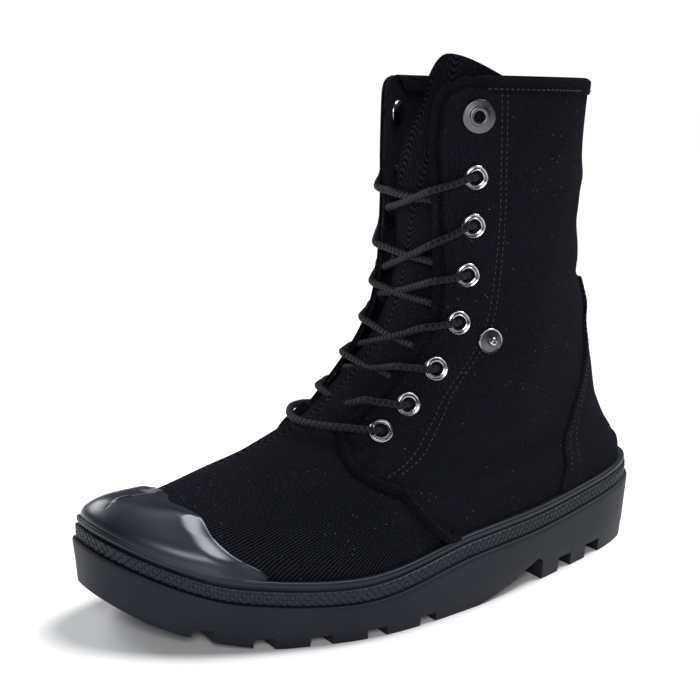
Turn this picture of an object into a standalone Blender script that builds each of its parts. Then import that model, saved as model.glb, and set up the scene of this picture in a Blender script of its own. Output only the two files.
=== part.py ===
# Black canvas high-top boot, left foot, standing empty on its lugged sole.
# Metres. +X points to the toe, +Y to the boot's left (outer) side, +Z up.
# The origin is under the middle of the outsole, on the floor.
import math
from functools import lru_cache

import bmesh
import bpy
import numpy as np
from mathutils import Vector

# Driving sizes
SOLE_LENGTH = 0.3025
BALL_WIDTH = 0.122
COLLAR_HEIGHT = 0.2375
HEEL_SOLE_HEIGHT = 0.033
UPPER_WALL = 0.0020
GAP = 0.0003

# Outsole
WALL_TAPER = 0.0018
LEDGE_BEVEL = 0.0012
LUG_DEPTH_FORE = 0.0043
LUG_DEPTH_HEEL = 0.0070
ARCH_RISE = 0.0120
ARCH_CORNER = 0.0040
CENTRE_GROOVE = 0.0080
CENTRE_GROOVE_DEPTH = 0.0035
CUT_BELOW = 0.0200

# Foxing: a ribbed band with a rolled lip above it
FOXING_HEIGHT = 0.0106
BAND_HEIGHT = 0.0068
BAND_SETBACK = 0.0016
GROOVE_SETBACK = 0.0030
LIP_SETBACK = 0.0020

# Overlays on the upper; their gap clears the flat facets of a hollow curve
OVERLAY_GAP = 0.0006
TOE_CAP_THICK = 0.0026
# The cap stands a little further off, because the toe box is tightly curved
TOE_CAP_GAP = 0.00085
COUNTER_THICK = 0.0012
ROLL_WIDTH = 0.0052
ROLL_HEIGHT = 0.0024
BINDING_DROP = 0.0065
BINDING_THICK = 0.0008
# Turn at which the collar binding starts beside the throat, and its top edge in levels under the collar
BINDING_START = 0.160
BINDING_BELOW = 0.03

# Inside
TONGUE_THICK = 0.0026
TONGUE_DEPTH = 0.0067
TONGUE_RISE = 0.0095
INSOLE_THICK = 0.0040
# Ring level that the insole's top edge follows
INSOLE_LEVEL = 0.15

# Metal fittings
EYELET_OUTER = 0.0112
EYELET_INNER = 0.0064
EYELET_HEIGHT = 0.0010
EYELET_HOLE = 0.0072
SNAP_OUTER = 0.0150
SNAP_RING = 0.0086
SNAP_BORE = 0.0046
SNAP_HEIGHT = 0.0016
STUD_OUTER = 0.0118
STUD_POST = 0.0046
STUD_HEIGHT = 0.0042
STUD_HOLE = 0.0012
FITTING_GAP = 0.0005

# Lace
LACE_THICK = 0.0032
LACE_SIDES = 6
# In turns round the ring: from an eyelet's middle to the lace's start, and from a flap's edge to its end
LACE_INSET = 0.030
LACE_TUCK = 0.010
# How far a strand falls towards the eyelet below, and how far it stays above the throat's foot, in levels
LACE_FALL = 0.42
LACE_CLEAR = 0.24
# How much the bar's ends dip towards their eyelets
BAR_DIP = 0.0012

# Mesh steps
AROUND = 60

HALF = SOLE_LENGTH / 2
BALL = BALL_WIDTH / 2

# Rings of the upper, from the sole's edge up to above the collar.
# back, front: X of the ring's ends as a share of half the sole's length.
# rise: heights of those ends as a share of the collar height.
# heel, waist, ball: half widths as a share of half the ball width, outer side then inner side.
# nose, rear: roundness of the two ends. swing: how far the toe turns to the inner side.
# follow: how much the ring follows the sole's top line.
COLUMNS = ("back", "back_rise", "front", "front_rise", "heel_out", "waist_out", "ball_out",
           "heel_in", "waist_in", "ball_in", "nose", "rear", "swing", "follow")
UPPER_ROWS = (
    (-0.952, 0.000, 0.948, 0.000, 0.625, 0.760, 0.910, 0.625, 0.500, 0.720, 2.30, 2.3, -0.40, 1.00),
    (-0.945, 0.196, 0.960, 0.182, 0.635, 0.770, 0.915, 0.635, 0.530, 0.725, 2.30, 2.3, -0.40, 0.90),
    (-0.905, 0.240, 0.919, 0.230, 0.645, 0.750, 0.883, 0.645, 0.560, 0.730, 1.86, 2.3, -0.36, 0.75),
    (-0.856, 0.286, 0.803, 0.229, 0.620, 0.720, 0.817, 0.620, 0.590, 0.690, 1.73, 2.2, -0.30, 0.28),
    (-0.812, 0.337, 0.525, 0.280, 0.606, 0.704, 0.754, 0.606, 0.606, 0.631, 1.86, 2.1, -0.20, 0.14),
    (-0.775, 0.413, 0.345, 0.336, 0.590, 0.672, 0.661, 0.590, 0.623, 0.611, 2.00, 2.1, -0.10, 0.00),
    (-0.736, 0.497, 0.261, 0.389, 0.574, 0.640, 0.606, 0.574, 0.623, 0.606, 2.00, 2.1, -0.03, 0.00),
    (-0.700, 0.590, 0.124, 0.493, 0.574, 0.623, 0.606, 0.574, 0.623, 0.606, 2.00, 2.1, 0.00, 0.00),
    (-0.673, 0.674, 0.058, 0.602, 0.574, 0.606, 0.606, 0.574, 0.606, 0.606, 2.00, 2.1, 0.00, 0.00),
    (-0.660, 0.775, 0.038, 0.741, 0.590, 0.606, 0.606, 0.590, 0.606, 0.606, 2.05, 2.1, 0.00, 0.00),
    (-0.656, 0.863, 0.041, 0.863, 0.606, 0.623, 0.606, 0.606, 0.623, 0.606, 2.05, 2.1, 0.00, 0.00),
    (-0.663, 1.000, 0.041, 1.000, 0.623, 0.623, 0.606, 0.623, 0.623, 0.606, 2.05, 2.1, 0.00, 0.00),
)
LAST_LEVEL = len(UPPER_ROWS) - 1
# Ring levels at which the upper's mesh has a row; the throat starts at one of them
THROAT_LEVEL = 5.44
UPPER_LEVELS = (0.0, 0.4, 0.8, 1.2, 1.6, 2.0, 2.5, 3.02, 3.24, 3.9, 4.6, THROAT_LEVEL,
                5.52, 5.75, 6.2, 6.9, 7.6, 8.4, 9.3, 10.2, 10.6, 10.85, 11.0)

# The sole's outline, in the same columns
SOLE_ROW = (-1.0, 0.0, 1.0, 0.0, 0.721, 0.852, 1.000, 0.721, 0.582, 0.803, 2.30, 2.3, -0.40, 0.0)

# Stations of the half widths, as shares of a ring's own length from its back end
HEEL_STATION = 0.15
WAIST_STATION = 0.45
BALL_STATION = 0.70
# How strongly the sides run on straight through the waist, and how late the toe starts to turn
SIDE_EASE = 0.8
SWING_POWER = 1.5
# Height of one ring level above the collar, as a share of the collar height
LEVEL_ABOVE = 0.1

# The sole's side line: share of the length from the heel, height of the wall's top edge
# and of the tread, as shares of the sole's height at the heel
SIDE_LINE = (
    (0.00, 1.000, 0.000),
    (0.12, 0.925, 0.000),
    (0.30, 0.818, 0.000),
    (0.48, 0.770, 0.000),
    (0.68, 0.515, 0.000),
    (0.80, 0.590, 0.012),
    (0.87, 0.700, 0.130),
    (0.94, 0.950, 0.330),
    (1.00, 1.230, 0.640),
)

# Tread notches: share of the length from the heel where each starts, and its width
FORE_NOTCHES = ((0.551, 0.030), (0.639, 0.031), (0.721, 0.031), (0.798, 0.028), (0.874, 0.026))
HEEL_NOTCHES = ((0.023, 0.026), (0.142, 0.042), (0.228, 0.036))
ARCH_START = 0.309
ARCH_END = 0.463
# Roundness of the arch from its breast down to the ball
ARCH_POWER = 1.15
# Lengthwise grooves: start and end as shares of the length, and how far each follows the toe's swing
CENTRE_GROOVES = ((0.500, 0.900, 0.35), (0.060, 0.279, 0.00))

# Throat: height as a share of the collar height, half gap as a share of half the ball width
THROAT = (
    (0.345, 0.000),
    (0.350, 0.130),
    (0.362, 0.185),
    (0.400, 0.262),
    (0.450, 0.310),
    (0.510, 0.350),
    (0.590, 0.362),
    (0.640, 0.338),
    (0.700, 0.318),
    (0.780, 0.303),
    (0.940, 0.298),
    (0.965, 0.318),
    (0.983, 0.360),
    (0.997, 0.440),
    (1.060, 0.560),
)

# Eyelets from the lowest to the highest: ring level and turn round the ring
EYELETS = ((5.03, 0.123), (5.84, 0.137), (6.51, 0.147), (7.31, 0.150), (8.14, 0.149), (8.83, 0.152), (9.60, 0.153))
SNAP_SPOT = (10.48, 0.154)
STUD_SPOT = (6.84, 0.203)

# Edge of the toe cap: ring level, turn on each side of the toe's middle
CAP_EDGE = ((0.80, 0.151), (1.20, 0.141), (1.45, 0.130), (1.96, 0.108), (2.60, 0.087), (3.01, 0.064), (3.24, 0.012))
# Edge of the heel counter: ring level, turn on each side of the back seam
COUNTER_EDGE = ((0.80, 0.174), (1.24, 0.168), (2.45, 0.159), (3.61, 0.149), (4.33, 0.139), (5.07, 0.116),
                (6.00, 0.082), (7.06, 0.066))
# Padded roll along the quarter's front edge: ring level and turn, from the throat down to the sole
ROLL_PATH = ((5.44, 0.060), (5.15, 0.073), (4.86, 0.088), (4.05, 0.133), (3.50, 0.173), (3.10, 0.200),
             (2.03, 0.226), (1.05, 0.246))
# Tongue: ring level, half turn and sideways lean in turns
TONGUE_EDGE = ((4.60, 0.085, 0.000), (5.40, 0.106, 0.000), (6.50, 0.130, 0.002), (8.00, 0.138, 0.006),
               (9.00, 0.124, 0.028), (10.00, 0.100, 0.082), (11.00, 0.082, 0.124))


def smooth_table(rows, where):
    # Smooth curve through a table whose first column is the place
    table = np.asarray(rows, float)
    places = table[:, 0]
    values = table[:, 1:]
    widths = np.diff(places)
    slopes = np.diff(values, axis=0) / widths[:, None]
    tangents = np.empty_like(values)
    tangents[0] = slopes[0]
    tangents[-1] = slopes[-1]
    for k in range(1, len(places) - 1):
        both = widths[k - 1] + widths[k]
        tangents[k] = (slopes[k - 1] * widths[k] + slopes[k] * widths[k - 1]) / both
    at = min(max(float(where), places[0]), places[-1])
    i = min(int(np.searchsorted(places, at, side="right")) - 1, len(widths) - 1)
    t = (at - places[i]) / widths[i]
    start = (2 * t**3 - 3 * t**2 + 1) * values[i] + (t**3 - 2 * t**2 + t) * widths[i] * tangents[i]
    end = (3 * t**2 - 2 * t**3) * values[i + 1] + (t**3 - t**2) * widths[i] * tangents[i + 1]
    return start + end


def wall_top(x):
    # Height of the outsole's upper edge at x
    return float(smooth_table(SIDE_LINE, (x + HALF) / SOLE_LENGTH)[0]) * HEEL_SOLE_HEIGHT


def tread_height(x):
    # Height of the tread at x: flat from heel to ball, then the toe spring
    return max(0.0, float(smooth_table(SIDE_LINE, (x + HALF) / SOLE_LENGTH)[1]) * HEEL_SOLE_HEIGHT)


def side_width(share, heel, waist, ball):
    # Half width through the heel, waist and ball stations
    rear = min(max((share - HEEL_STATION) / (WAIST_STATION - HEEL_STATION), 0.0), 1.0)
    fore = min(max((share - WAIST_STATION) / (BALL_STATION - WAIST_STATION), 0.0), 1.0)
    lean = (ball - heel) / (BALL_STATION - HEEL_STATION) * SIDE_EASE
    if share < WAIST_STATION:
        ease = rear * rear * (3 - 2 * rear)
        return heel + (waist - heel) * ease + (rear**3 - rear**2) * (WAIST_STATION - HEEL_STATION) * lean
    ease = fore * fore * (3 - 2 * fore)
    bend = (fore**3 - 2 * fore**2 + fore) * (BALL_STATION - WAIST_STATION) * lean
    return waist + (ball - waist) * ease + bend


def ring_point(row, turn, grow=0.0):
    # A point of a ring: turn 0 is the toe, 0.25 the outer side, 0.5 the heel, 0.75 the inner side
    ring = dict(zip(COLUMNS, row))
    back = ring["back"] * HALF - grow
    front = ring["front"] * HALF + grow
    angle = 2 * math.pi * turn
    across = math.sin(angle)
    along = math.cos(angle)
    power = 2 / (ring["nose"] if along > 0 else ring["rear"])
    share = (1 + math.copysign(abs(along)**power, along)) / 2
    side = "_out" if across > 0 else "_in"
    width = side_width(share, ring["heel" + side], ring["waist" + side], ring["ball" + side])
    ahead = max(0.0, (share - WAIST_STATION) / (1 - WAIST_STATION))
    swing = ring["swing"] * BALL * ahead**SWING_POWER
    y = math.copysign((width * BALL + grow) * abs(across)**power, across) + swing
    x = back + (front - back) * share
    line = wall_top(back) + (wall_top(front) - wall_top(back)) * share
    rise = (ring["back_rise"] + (ring["front_rise"] - ring["back_rise"]) * share) * COLLAR_HEIGHT
    z = rise + ring["follow"] * (wall_top(x) - line)
    return np.array((x, y - SIDE_SHIFT, z))


@lru_cache(maxsize=None)
def upper_row(level):
    # The table's columns at a ring level
    return tuple(smooth_table([(k, *row) for k, row in enumerate(UPPER_ROWS)], level))


def upper_point(level, turn):
    # A point of the upper's outer surface; above the last ring the shaft goes straight on
    held = min(max(level, 0.0), float(LAST_LEVEL))
    point = ring_point(upper_row(held), turn)
    if held < 1:
        first = ring_point(upper_row(1.0), turn)
        stand = first[2] - wall_top(first[0])
        point[2] = wall_top(point[0]) + GAP + (stand - GAP) * held
    if level > LAST_LEVEL:
        point[2] += (level - LAST_LEVEL) * COLLAR_HEIGHT * LEVEL_ABOVE
    return point


def upper_normal(level, turn):
    # Outward direction of the upper's surface
    low = max(level - 0.02, 0.0)
    around = upper_point(level, turn + 0.002) - upper_point(level, turn - 0.002)
    upward = upper_point(low + 0.04, turn) - upper_point(low, turn)
    normal = np.cross(around, upward)
    if level < 0.5:
        normal[2] = 0.0
    return normal / np.linalg.norm(normal)


def on_upper(level, turn, offset=0.0):
    return upper_point(level, turn) + upper_normal(level, turn) * offset


def level_of_height(height, turn):
    # Ring level at which the surface reaches a height
    low, high = 0.0, float(LAST_LEVEL) + 2.0
    for _ in range(30):
        middle = (low + high) / 2
        if upper_point(middle, turn)[2] < height:
            low = middle
        else:
            high = middle
    return (low + high) / 2


def side_shift():
    # Half the difference between the sole's outer and inner reach
    reach = [ring_point(SOLE_ROW, k / 400)[1] for k in range(400)]
    return (max(reach) + min(reach)) / 2


SIDE_SHIFT = 0.0
SIDE_SHIFT = side_shift()


def clear_scene():
    for item in list(bpy.data.objects):
        bpy.data.objects.remove(item)


def make_material(name, colour, roughness, metallic=0.0):
    material = bpy.data.materials.new(name)
    material.use_nodes = True
    shader = material.node_tree.nodes["Principled BSDF"]
    shader.inputs["Base Color"].default_value = (*colour, 1.0)
    shader.inputs["Roughness"].default_value = roughness
    shader.inputs["Metallic"].default_value = metallic
    return material


def add_mesh(name, points, faces, material):
    mesh = bpy.data.meshes.new(name)
    mesh.from_pydata([tuple(p) for p in points], [], faces)
    shape = bmesh.new()
    shape.from_mesh(mesh)
    loose = [vert for vert in shape.verts if not vert.link_faces]
    bmesh.ops.delete(shape, geom=loose, context="VERTS")
    bmesh.ops.recalc_face_normals(shape, faces=shape.faces)
    if shape.calc_volume(signed=True) < 0:
        bmesh.ops.reverse_faces(shape, faces=shape.faces)
    shape.to_mesh(mesh)
    shape.free()
    mesh.shade_smooth()
    mesh.set_sharp_from_angle(angle=math.radians(35))
    item = bpy.data.objects.new(name, mesh)
    bpy.context.collection.objects.link(item)
    if material:
        mesh.materials.append(material)
    return item


def add_tube(name, loops, material, closed=False):
    # Skin over a row of loops with equal counts; the ends are capped unless the row closes on itself
    count = len(loops[0])
    points = [p for loop in loops for p in loop]
    faces = []
    rows = len(loops)
    for i in range(rows if closed else rows - 1):
        here = i * count
        there = ((i + 1) % rows) * count
        for j in range(count):
            k = (j + 1) % count
            faces.append((here + j, here + k, there + k, there + j))
    if not closed:
        faces.append(tuple(range(count)))
        faces.append(tuple((rows - 1) * count + j for j in range(count)))
    return add_mesh(name, points, faces, material)


def add_slab(name, rings, material):
    # Solid between stacked outlines whose points mirror each other in pairs across the long axis
    count = len(rings[0])
    points = [p for ring in rings for p in ring]
    faces = []
    for i in range(len(rings) - 1):
        for j in range(count):
            k = (j + 1) % count
            faces.append((i * count + j, i * count + k, (i + 1) * count + k, (i + 1) * count + j))
    for base in (0, (len(rings) - 1) * count):
        faces.append((base, base + 1, base + count - 1))
        faces.append((base + count // 2 - 1, base + count // 2, base + count // 2 + 1))
        for j in range(1, count // 2 - 1):
            faces.append((base + j, base + j + 1, base + count - j - 1, base + count - j))
    return add_mesh(name, points, faces, material)


def add_patch(name, levels, edges, inner, outer, material, across=10, middle=0.0, on_lip=False):
    # Curved plate lying on the upper: edges gives the half turn and the lean at each level.
    # With on_lip its lowest row stands on the foxing's lip.
    loops = []
    for level in levels:
        half, lean = edges(level)
        front = []
        rear = []
        for j in range(across + 1):
            turn = middle + lean + half * (-1 + 2 * j / across)
            here = level
            if on_lip and level == levels[0]:
                here = height_level(turn, FOXING_HEIGHT + GAP)
            for side, offset in ((front, outer), (rear, inner)):
                point = on_upper(here, turn, offset)
                if on_lip:
                    point[2] = max(point[2], wall_top(point[0]) + FOXING_HEIGHT + GAP)
                side.append(point)
        loops.append(front + rear[::-1])
    return add_tube(name, loops, material)


def surface_steps(level, turn, move):
    # Ring level and turn after a short move along the surface
    step = 0.01
    up = (upper_point(level + step, turn) - upper_point(level - step, turn)) / (2 * step)
    around = (upper_point(level, turn + step / 10) - upper_point(level, turn - step / 10)) / (step / 5)
    frame = np.stack([up, around], axis=1)
    change = np.linalg.lstsq(frame, move, rcond=None)[0]
    return level + change[0], turn + change[1]


def add_strip(name, path, width, profile, material):
    # Strip that follows a path of level and turn on the upper; profile holds share of width and height
    loops = []
    for i, (level, turn) in enumerate(path):
        before = upper_point(*path[max(i - 1, 0)])
        after = upper_point(*path[min(i + 1, len(path) - 1)])
        along = (after - before) / np.linalg.norm(after - before)
        side = np.cross(upper_normal(level, turn), along)
        loop = []
        for share, height in profile:
            there = surface_steps(level, turn, side * width * share)
            loop.append(on_upper(there[0], there[1], height))
        loops.append(loop)
    return add_tube(name, loops, material)


def sweep_round(points, thick, sides):
    # Loops of a round cord through points
    loops = []
    guide = Vector((0.0, 0.0, 1.0))
    for i, point in enumerate(points):
        before = Vector(points[max(i - 1, 0)])
        after = Vector(points[min(i + 1, len(points) - 1)])
        along = (after - before).normalized()
        first = along.cross(guide).normalized()
        second = along.cross(first)
        loop = []
        for j in range(sides):
            angle = 2 * math.pi * j / sides
            offset = first * math.cos(angle) + second * math.sin(angle)
            loop.append(np.array(Vector(point) + offset * thick / 2))
        loops.append(loop)
    return loops


def turned_piece(name, profile, centre, normal, material, sides=12):
    # Piece turned about a surface normal; profile holds radius and height, and closes on itself
    axis = Vector(normal).normalized()
    first = axis.orthogonal().normalized()
    second = axis.cross(first)
    loops = []
    for i in range(sides):
        angle = 2 * math.pi * i / sides
        spoke = first * math.cos(angle) + second * math.sin(angle)
        loops.append([np.array(Vector(centre) + spoke * r + axis * h) for r, h in profile])
    return add_tube(name, loops, material, closed=True)


def add_cutter(name, points, faces):
    cutter = add_mesh(name, points, faces, None)
    cutter.hide_render = True
    cutter.display_type = "WIRE"
    return cutter


def cut(item, cutter, operation="DIFFERENCE"):
    modifier = item.modifiers.new(cutter.name, "BOOLEAN")
    modifier.operation = operation
    modifier.object = cutter


def box_parts(boxes):
    # Points and faces of several boxes given as lowest and highest corners
    points = []
    faces = []
    for low, high in boxes:
        base = len(points)
        for z in (low[2], high[2]):
            points += [(low[0], low[1], z), (high[0], low[1], z), (high[0], high[1], z), (low[0], high[1], z)]
        faces += [tuple(base + k for k in face) for face in
                  ((3, 2, 1, 0), (4, 5, 6, 7), (0, 1, 5, 4), (1, 2, 6, 5), (2, 3, 7, 6), (3, 0, 4, 7))]
    return points, faces


def sole_ring(grow, height):
    # Outline of the sole, grown or set back, with a height for each point
    ring = []
    for j in range(AROUND):
        point = ring_point(SOLE_ROW, j / AROUND, grow)
        point[2] = height(point[0])
        ring.append(point)
    return ring


def build_outsole(material):
    rings = [
        sole_ring(-WALL_TAPER, tread_height),
        sole_ring(0.0, lambda x: wall_top(x) - LEDGE_BEVEL),
        sole_ring(-LEDGE_BEVEL / 2, wall_top),
    ]
    outsole = add_slab("outsole", rings, material)
    wide = BALL_WIDTH
    boxes = []
    for notches, depth in ((FORE_NOTCHES, LUG_DEPTH_FORE), (HEEL_NOTCHES, LUG_DEPTH_HEEL)):
        for start, width in notches:
            low = -HALF + start * SOLE_LENGTH
            high = low + width * SOLE_LENGTH
            top = tread_height((low + high) / 2) + depth
            boxes.append(((low, -wide, -CUT_BELOW), (high, wide, top)))
    cut(outsole, add_cutter("tread_notch_cutter", *box_parts(boxes)))
    breast = -HALF + ARCH_START * SOLE_LENGTH
    fore = -HALF + ARCH_END * SOLE_LENGTH
    steps = 7
    crest = breast + ARCH_CORNER
    outline = [(breast, -CUT_BELOW), (breast, ARCH_RISE - ARCH_CORNER / 2), (crest, ARCH_RISE)]
    for k in range(1, steps + 1):
        share = k / steps
        outline.append((crest + (fore - crest) * share, ARCH_RISE * (1 - share)**ARCH_POWER))
    outline.append((fore, -CUT_BELOW))
    points = [(x, side * wide, z) for side in (-1, 1) for x, z in outline]
    count = len(outline)
    faces = [tuple(range(count)), tuple(range(count, 2 * count))[::-1]]
    faces += [(j, (j + 1) % count, (j + 1) % count + count, j + count) for j in range(count)]
    cut(outsole, add_cutter("arch_cutter", points, faces))
    grooves = []
    for start, end, swing in CENTRE_GROOVES:
        low = -HALF + start * SOLE_LENGTH
        high = -HALF + end * SOLE_LENGTH
        middle = ring_point(SOLE_ROW, 0.0)[1] * swing
        grooves.append(((low, middle - CENTRE_GROOVE / 2, -CUT_BELOW),
                        (high, middle + CENTRE_GROOVE / 2, CENTRE_GROOVE_DEPTH)))
    cut(outsole, add_cutter("centre_groove_cutter", *box_parts(grooves)))
    return outsole


def build_foxing(material):
    # Band and lip as one ring: each loop is the section at one place round the shoe
    count = AROUND
    section = (
        (BAND_SETBACK, GAP),
        (BAND_SETBACK + 0.0004, BAND_HEIGHT - 0.0002),
        (GROOVE_SETBACK, BAND_HEIGHT + 0.0004),
        (LIP_SETBACK, BAND_HEIGHT + 0.0012),
        (LIP_SETBACK, FOXING_HEIGHT - 0.0010),
        (LIP_SETBACK + 0.0010, FOXING_HEIGHT),
    )
    loops = []
    for j in range(count):
        turn = j / count
        loop = []
        for setback, height in section:
            point = ring_point(SOLE_ROW, turn, -setback)
            point[2] = wall_top(point[0]) + height
            loop.append(point)
        for height in (FOXING_HEIGHT - 0.0002, FOXING_HEIGHT / 2, GAP):
            inner = on_upper(height_level(turn, height), turn, GAP)
            inner[2] = wall_top(inner[0]) + height
            loop.append(inner)
        loops.append(loop)
    return add_tube("foxing", loops, material, closed=True)


def height_level(turn, height):
    # Ring level at which the upper stands a given height above the outsole's edge
    low, high = 0.0, 2.0
    for _ in range(20):
        middle = (low + high) / 2
        point = upper_point(middle, turn)
        if point[2] - wall_top(point[0]) < height:
            low = middle
        else:
            high = middle
    return (low + high) / 2


def build_upper(material):
    # Rows run round from one throat edge to the other; below the throat both ends are one point
    outer = []
    inner = []
    for level in UPPER_LEVELS:
        edge = flap_turn(level) if level > THROAT_LEVEL else 0.0
        turns = [edge + (1 - 2 * edge) * j / AROUND for j in range(AROUND + 1)]
        wall = [on_upper(level, turn) for turn in turns]
        face = [on_upper(level, turn, -UPPER_WALL) for turn in turns]
        if level == 0:
            for point in face:
                point[2] = wall_top(point[0]) + GAP
        if level == LAST_LEVEL:
            for point, beside in zip(face, wall):
                point[2] = beside[2]
        outer.append(wall)
        inner.append(face)
    points = [p for rows in (outer, inner) for row in rows for p in row]
    width = AROUND + 1
    start = UPPER_LEVELS.index(THROAT_LEVEL)
    count = len(UPPER_LEVELS)

    def place(side, row, column):
        if row <= start and column == AROUND:
            column = 0
        return (side * count + row) * width + column

    faces = []
    for row in range(count - 1):
        for column in range(AROUND):
            for side in (0, 1):
                faces.append((place(side, row, column), place(side, row, column + 1),
                              place(side, row + 1, column + 1), place(side, row + 1, column)))
        if row >= start:
            for column in (0, AROUND):
                faces.append((place(0, row, column), place(0, row + 1, column),
                              place(1, row + 1, column), place(1, row, column)))
    for row in (0, count - 1):
        for column in range(AROUND):
            faces.append((place(0, row, column), place(0, row, column + 1),
                          place(1, row, column + 1), place(1, row, column)))
    upper = add_mesh("upper", points, faces, material)
    cut(upper, eyelet_hole_cutter())
    return upper


def throat_half(height):
    # Half gap of the throat at a height
    return float(smooth_table(THROAT, height / COLLAR_HEIGHT)[0]) * BALL


def eyelet_hole_cutter():
    # One short round punch for each eyelet, all in one cutter
    points = []
    faces = []
    sides = 8
    for level, turn in EYELETS:
        for side in (1, -1):
            normal = Vector(upper_normal(level, side * turn))
            centre = Vector(upper_point(level, side * turn))
            first = normal.orthogonal().normalized()
            second = normal.cross(first)
            base = len(points)
            for reach in (-2 * UPPER_WALL, UPPER_WALL):
                for k in range(sides):
                    angle = 2 * math.pi * k / sides
                    spoke = first * math.cos(angle) + second * math.sin(angle)
                    points.append(tuple(centre + spoke * EYELET_HOLE / 2 + normal * reach))
            faces.append(tuple(base + k for k in range(sides))[::-1])
            faces.append(tuple(base + sides + k for k in range(sides)))
            for k in range(sides):
                j = (k + 1) % sides
                faces.append((base + k, base + j, base + sides + j, base + sides + k))
    return add_cutter("eyelet_hole_cutter", points, faces)


def shared_levels(start, end):
    # Rows of an overlay: the same as the upper's below it, and its own ends
    inside = [level for level in UPPER_LEVELS if start + 0.1 < level < end - 0.02]
    return [start, *inside, end]


def build_toe_cap(material):
    start = CAP_EDGE[0][0]
    end = CAP_EDGE[-1][0]
    levels = shared_levels(start, end)
    return add_patch("toe_cap", levels, lambda level: (float(smooth_table(CAP_EDGE, level)[0]), 0.0),
                     TOE_CAP_GAP, TOE_CAP_GAP + TOE_CAP_THICK, material, across=14, on_lip=True)


def build_heel_counter(material):
    start = COUNTER_EDGE[0][0]
    end = COUNTER_EDGE[-1][0]
    levels = shared_levels(start, end)
    return add_patch("heel_counter", levels, lambda level: (float(smooth_table(COUNTER_EDGE, level)[0]), 0.0),
                     OVERLAY_GAP, OVERLAY_GAP + COUNTER_THICK, material, across=16, middle=0.5,
                     on_lip=True)


def build_rolls(material):
    foot = 2 * OVERLAY_GAP
    profile = ((-0.5, foot), (-0.45, ROLL_HEIGHT * 0.6), (0.0, ROLL_HEIGHT + GAP), (0.45, ROLL_HEIGHT * 0.6),
               (0.5, foot))
    steps = 16
    for side, name in ((1, "quarter_roll_outer"), (-1, "quarter_roll_inner")):
        table = [(k, *row) for k, row in enumerate(ROLL_PATH)]
        path = []
        for k in range(steps + 1):
            level, turn = smooth_table(table, (len(ROLL_PATH) - 1) * k / steps)
            path.append((float(level), side * float(turn)))
        add_strip(name, path, ROLL_WIDTH, profile, material)


def build_collar_binding(material):
    # Band along the collar from one throat corner round the back to the other
    steps = 34
    top = LAST_LEVEL - BINDING_BELOW
    loops = []
    for k in range(steps + 1):
        turn = BINDING_START + (1 - 2 * BINDING_START) * k / steps
        low = level_of_height(upper_point(top, turn)[2] - BINDING_DROP, turn)
        loops.append([on_upper(low, turn, GAP), on_upper(low, turn, GAP + BINDING_THICK),
                      on_upper(top, turn, GAP + BINDING_THICK), on_upper(top, turn, GAP)])
    return add_tube("collar_binding", loops, material)


def build_tongue(material):
    start = TONGUE_EDGE[0][0]
    extra = TONGUE_RISE / (COLLAR_HEIGHT * LEVEL_ABOVE)
    end = LAST_LEVEL + extra
    steps = 16
    levels = [start + (end - start) * k / steps for k in range(steps + 1)]

    def edges(level):
        half, lean = smooth_table(TONGUE_EDGE, min(level, LAST_LEVEL))
        if level > LAST_LEVEL:
            half *= math.sqrt(max(0.15, 1 - ((level - LAST_LEVEL) / extra)**2 * 0.8))
        return float(half), float(lean)

    return add_patch("tongue", levels, edges, -TONGUE_DEPTH - TONGUE_THICK, -TONGUE_DEPTH, material, across=8)


def build_insole(material):
    setback = UPPER_WALL + FITTING_GAP + GAP
    rings = []
    for level, height in ((0.0, 2 * GAP), (INSOLE_LEVEL, 2 * GAP + INSOLE_THICK)):
        ring = []
        for j in range(AROUND):
            point = on_upper(level, j / AROUND, -setback)
            point[2] = wall_top(point[0]) + height
            ring.append(point)
        rings.append(ring)
    return add_slab("insole", rings, material)


def fitting_seat(level, turn, radius):
    # Centre and axis of a round fitting, lifted until its whole foot clears the cloth
    centre = upper_point(level, turn)
    normal = upper_normal(level, turn)
    first = np.array(Vector(normal).orthogonal().normalized())
    second = np.cross(normal, first)
    lift = 0.0
    for k in range(12):
        angle = 2 * math.pi * k / 12
        there = surface_steps(level, turn, (first * math.cos(angle) + second * math.sin(angle)) * radius)
        lift = max(lift, float(np.dot(upper_point(*there) - centre, normal)))
    return centre + normal * (lift + FITTING_GAP), normal


def build_eyelets(material):
    inner = EYELET_INNER / 2
    outer = EYELET_OUTER / 2
    profile = ((inner, 0.0), ((inner + outer) / 2, EYELET_HEIGHT), (outer, 0.0))
    for k, (level, turn) in enumerate(EYELETS, start=1):
        for side, word in ((1, "outer"), (-1, "inner")):
            centre, normal = fitting_seat(level, side * turn, outer)
            turned_piece("eyelet_%s_%d" % (word, k), profile, centre, normal, material)


def build_snaps(material):
    rim = SNAP_OUTER / 2
    ring = SNAP_RING / 2
    bore = SNAP_BORE / 2
    socket = ((bore, 0.0), (bore, SNAP_HEIGHT * 0.8), (ring * 0.8, SNAP_HEIGHT), (ring, SNAP_HEIGHT * 0.6),
              (rim, SNAP_HEIGHT * 0.5), (rim, 0.0))
    disc = STUD_OUTER / 2
    post = STUD_POST / 2
    hole = STUD_HOLE / 2
    stud = ((hole, 0.0), (hole, STUD_HEIGHT * 0.8), (post * 0.8, STUD_HEIGHT), (post * 1.1, STUD_HEIGHT * 0.7),
            (post * 0.85, STUD_HEIGHT * 0.35), (disc, STUD_HEIGHT * 0.22), (disc, 0.0))
    for side, word in ((1, "outer"), (-1, "inner")):
        for name, spot, profile in (("snap_socket", SNAP_SPOT, socket), ("snap_stud", STUD_SPOT, stud)):
            level, turn = spot
            reach = max(radius for radius, _ in profile)
            centre, normal = fitting_seat(level, side * turn, reach)
            turned_piece("%s_%s" % (name, word), profile, centre, normal, material, sides=16)


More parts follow.
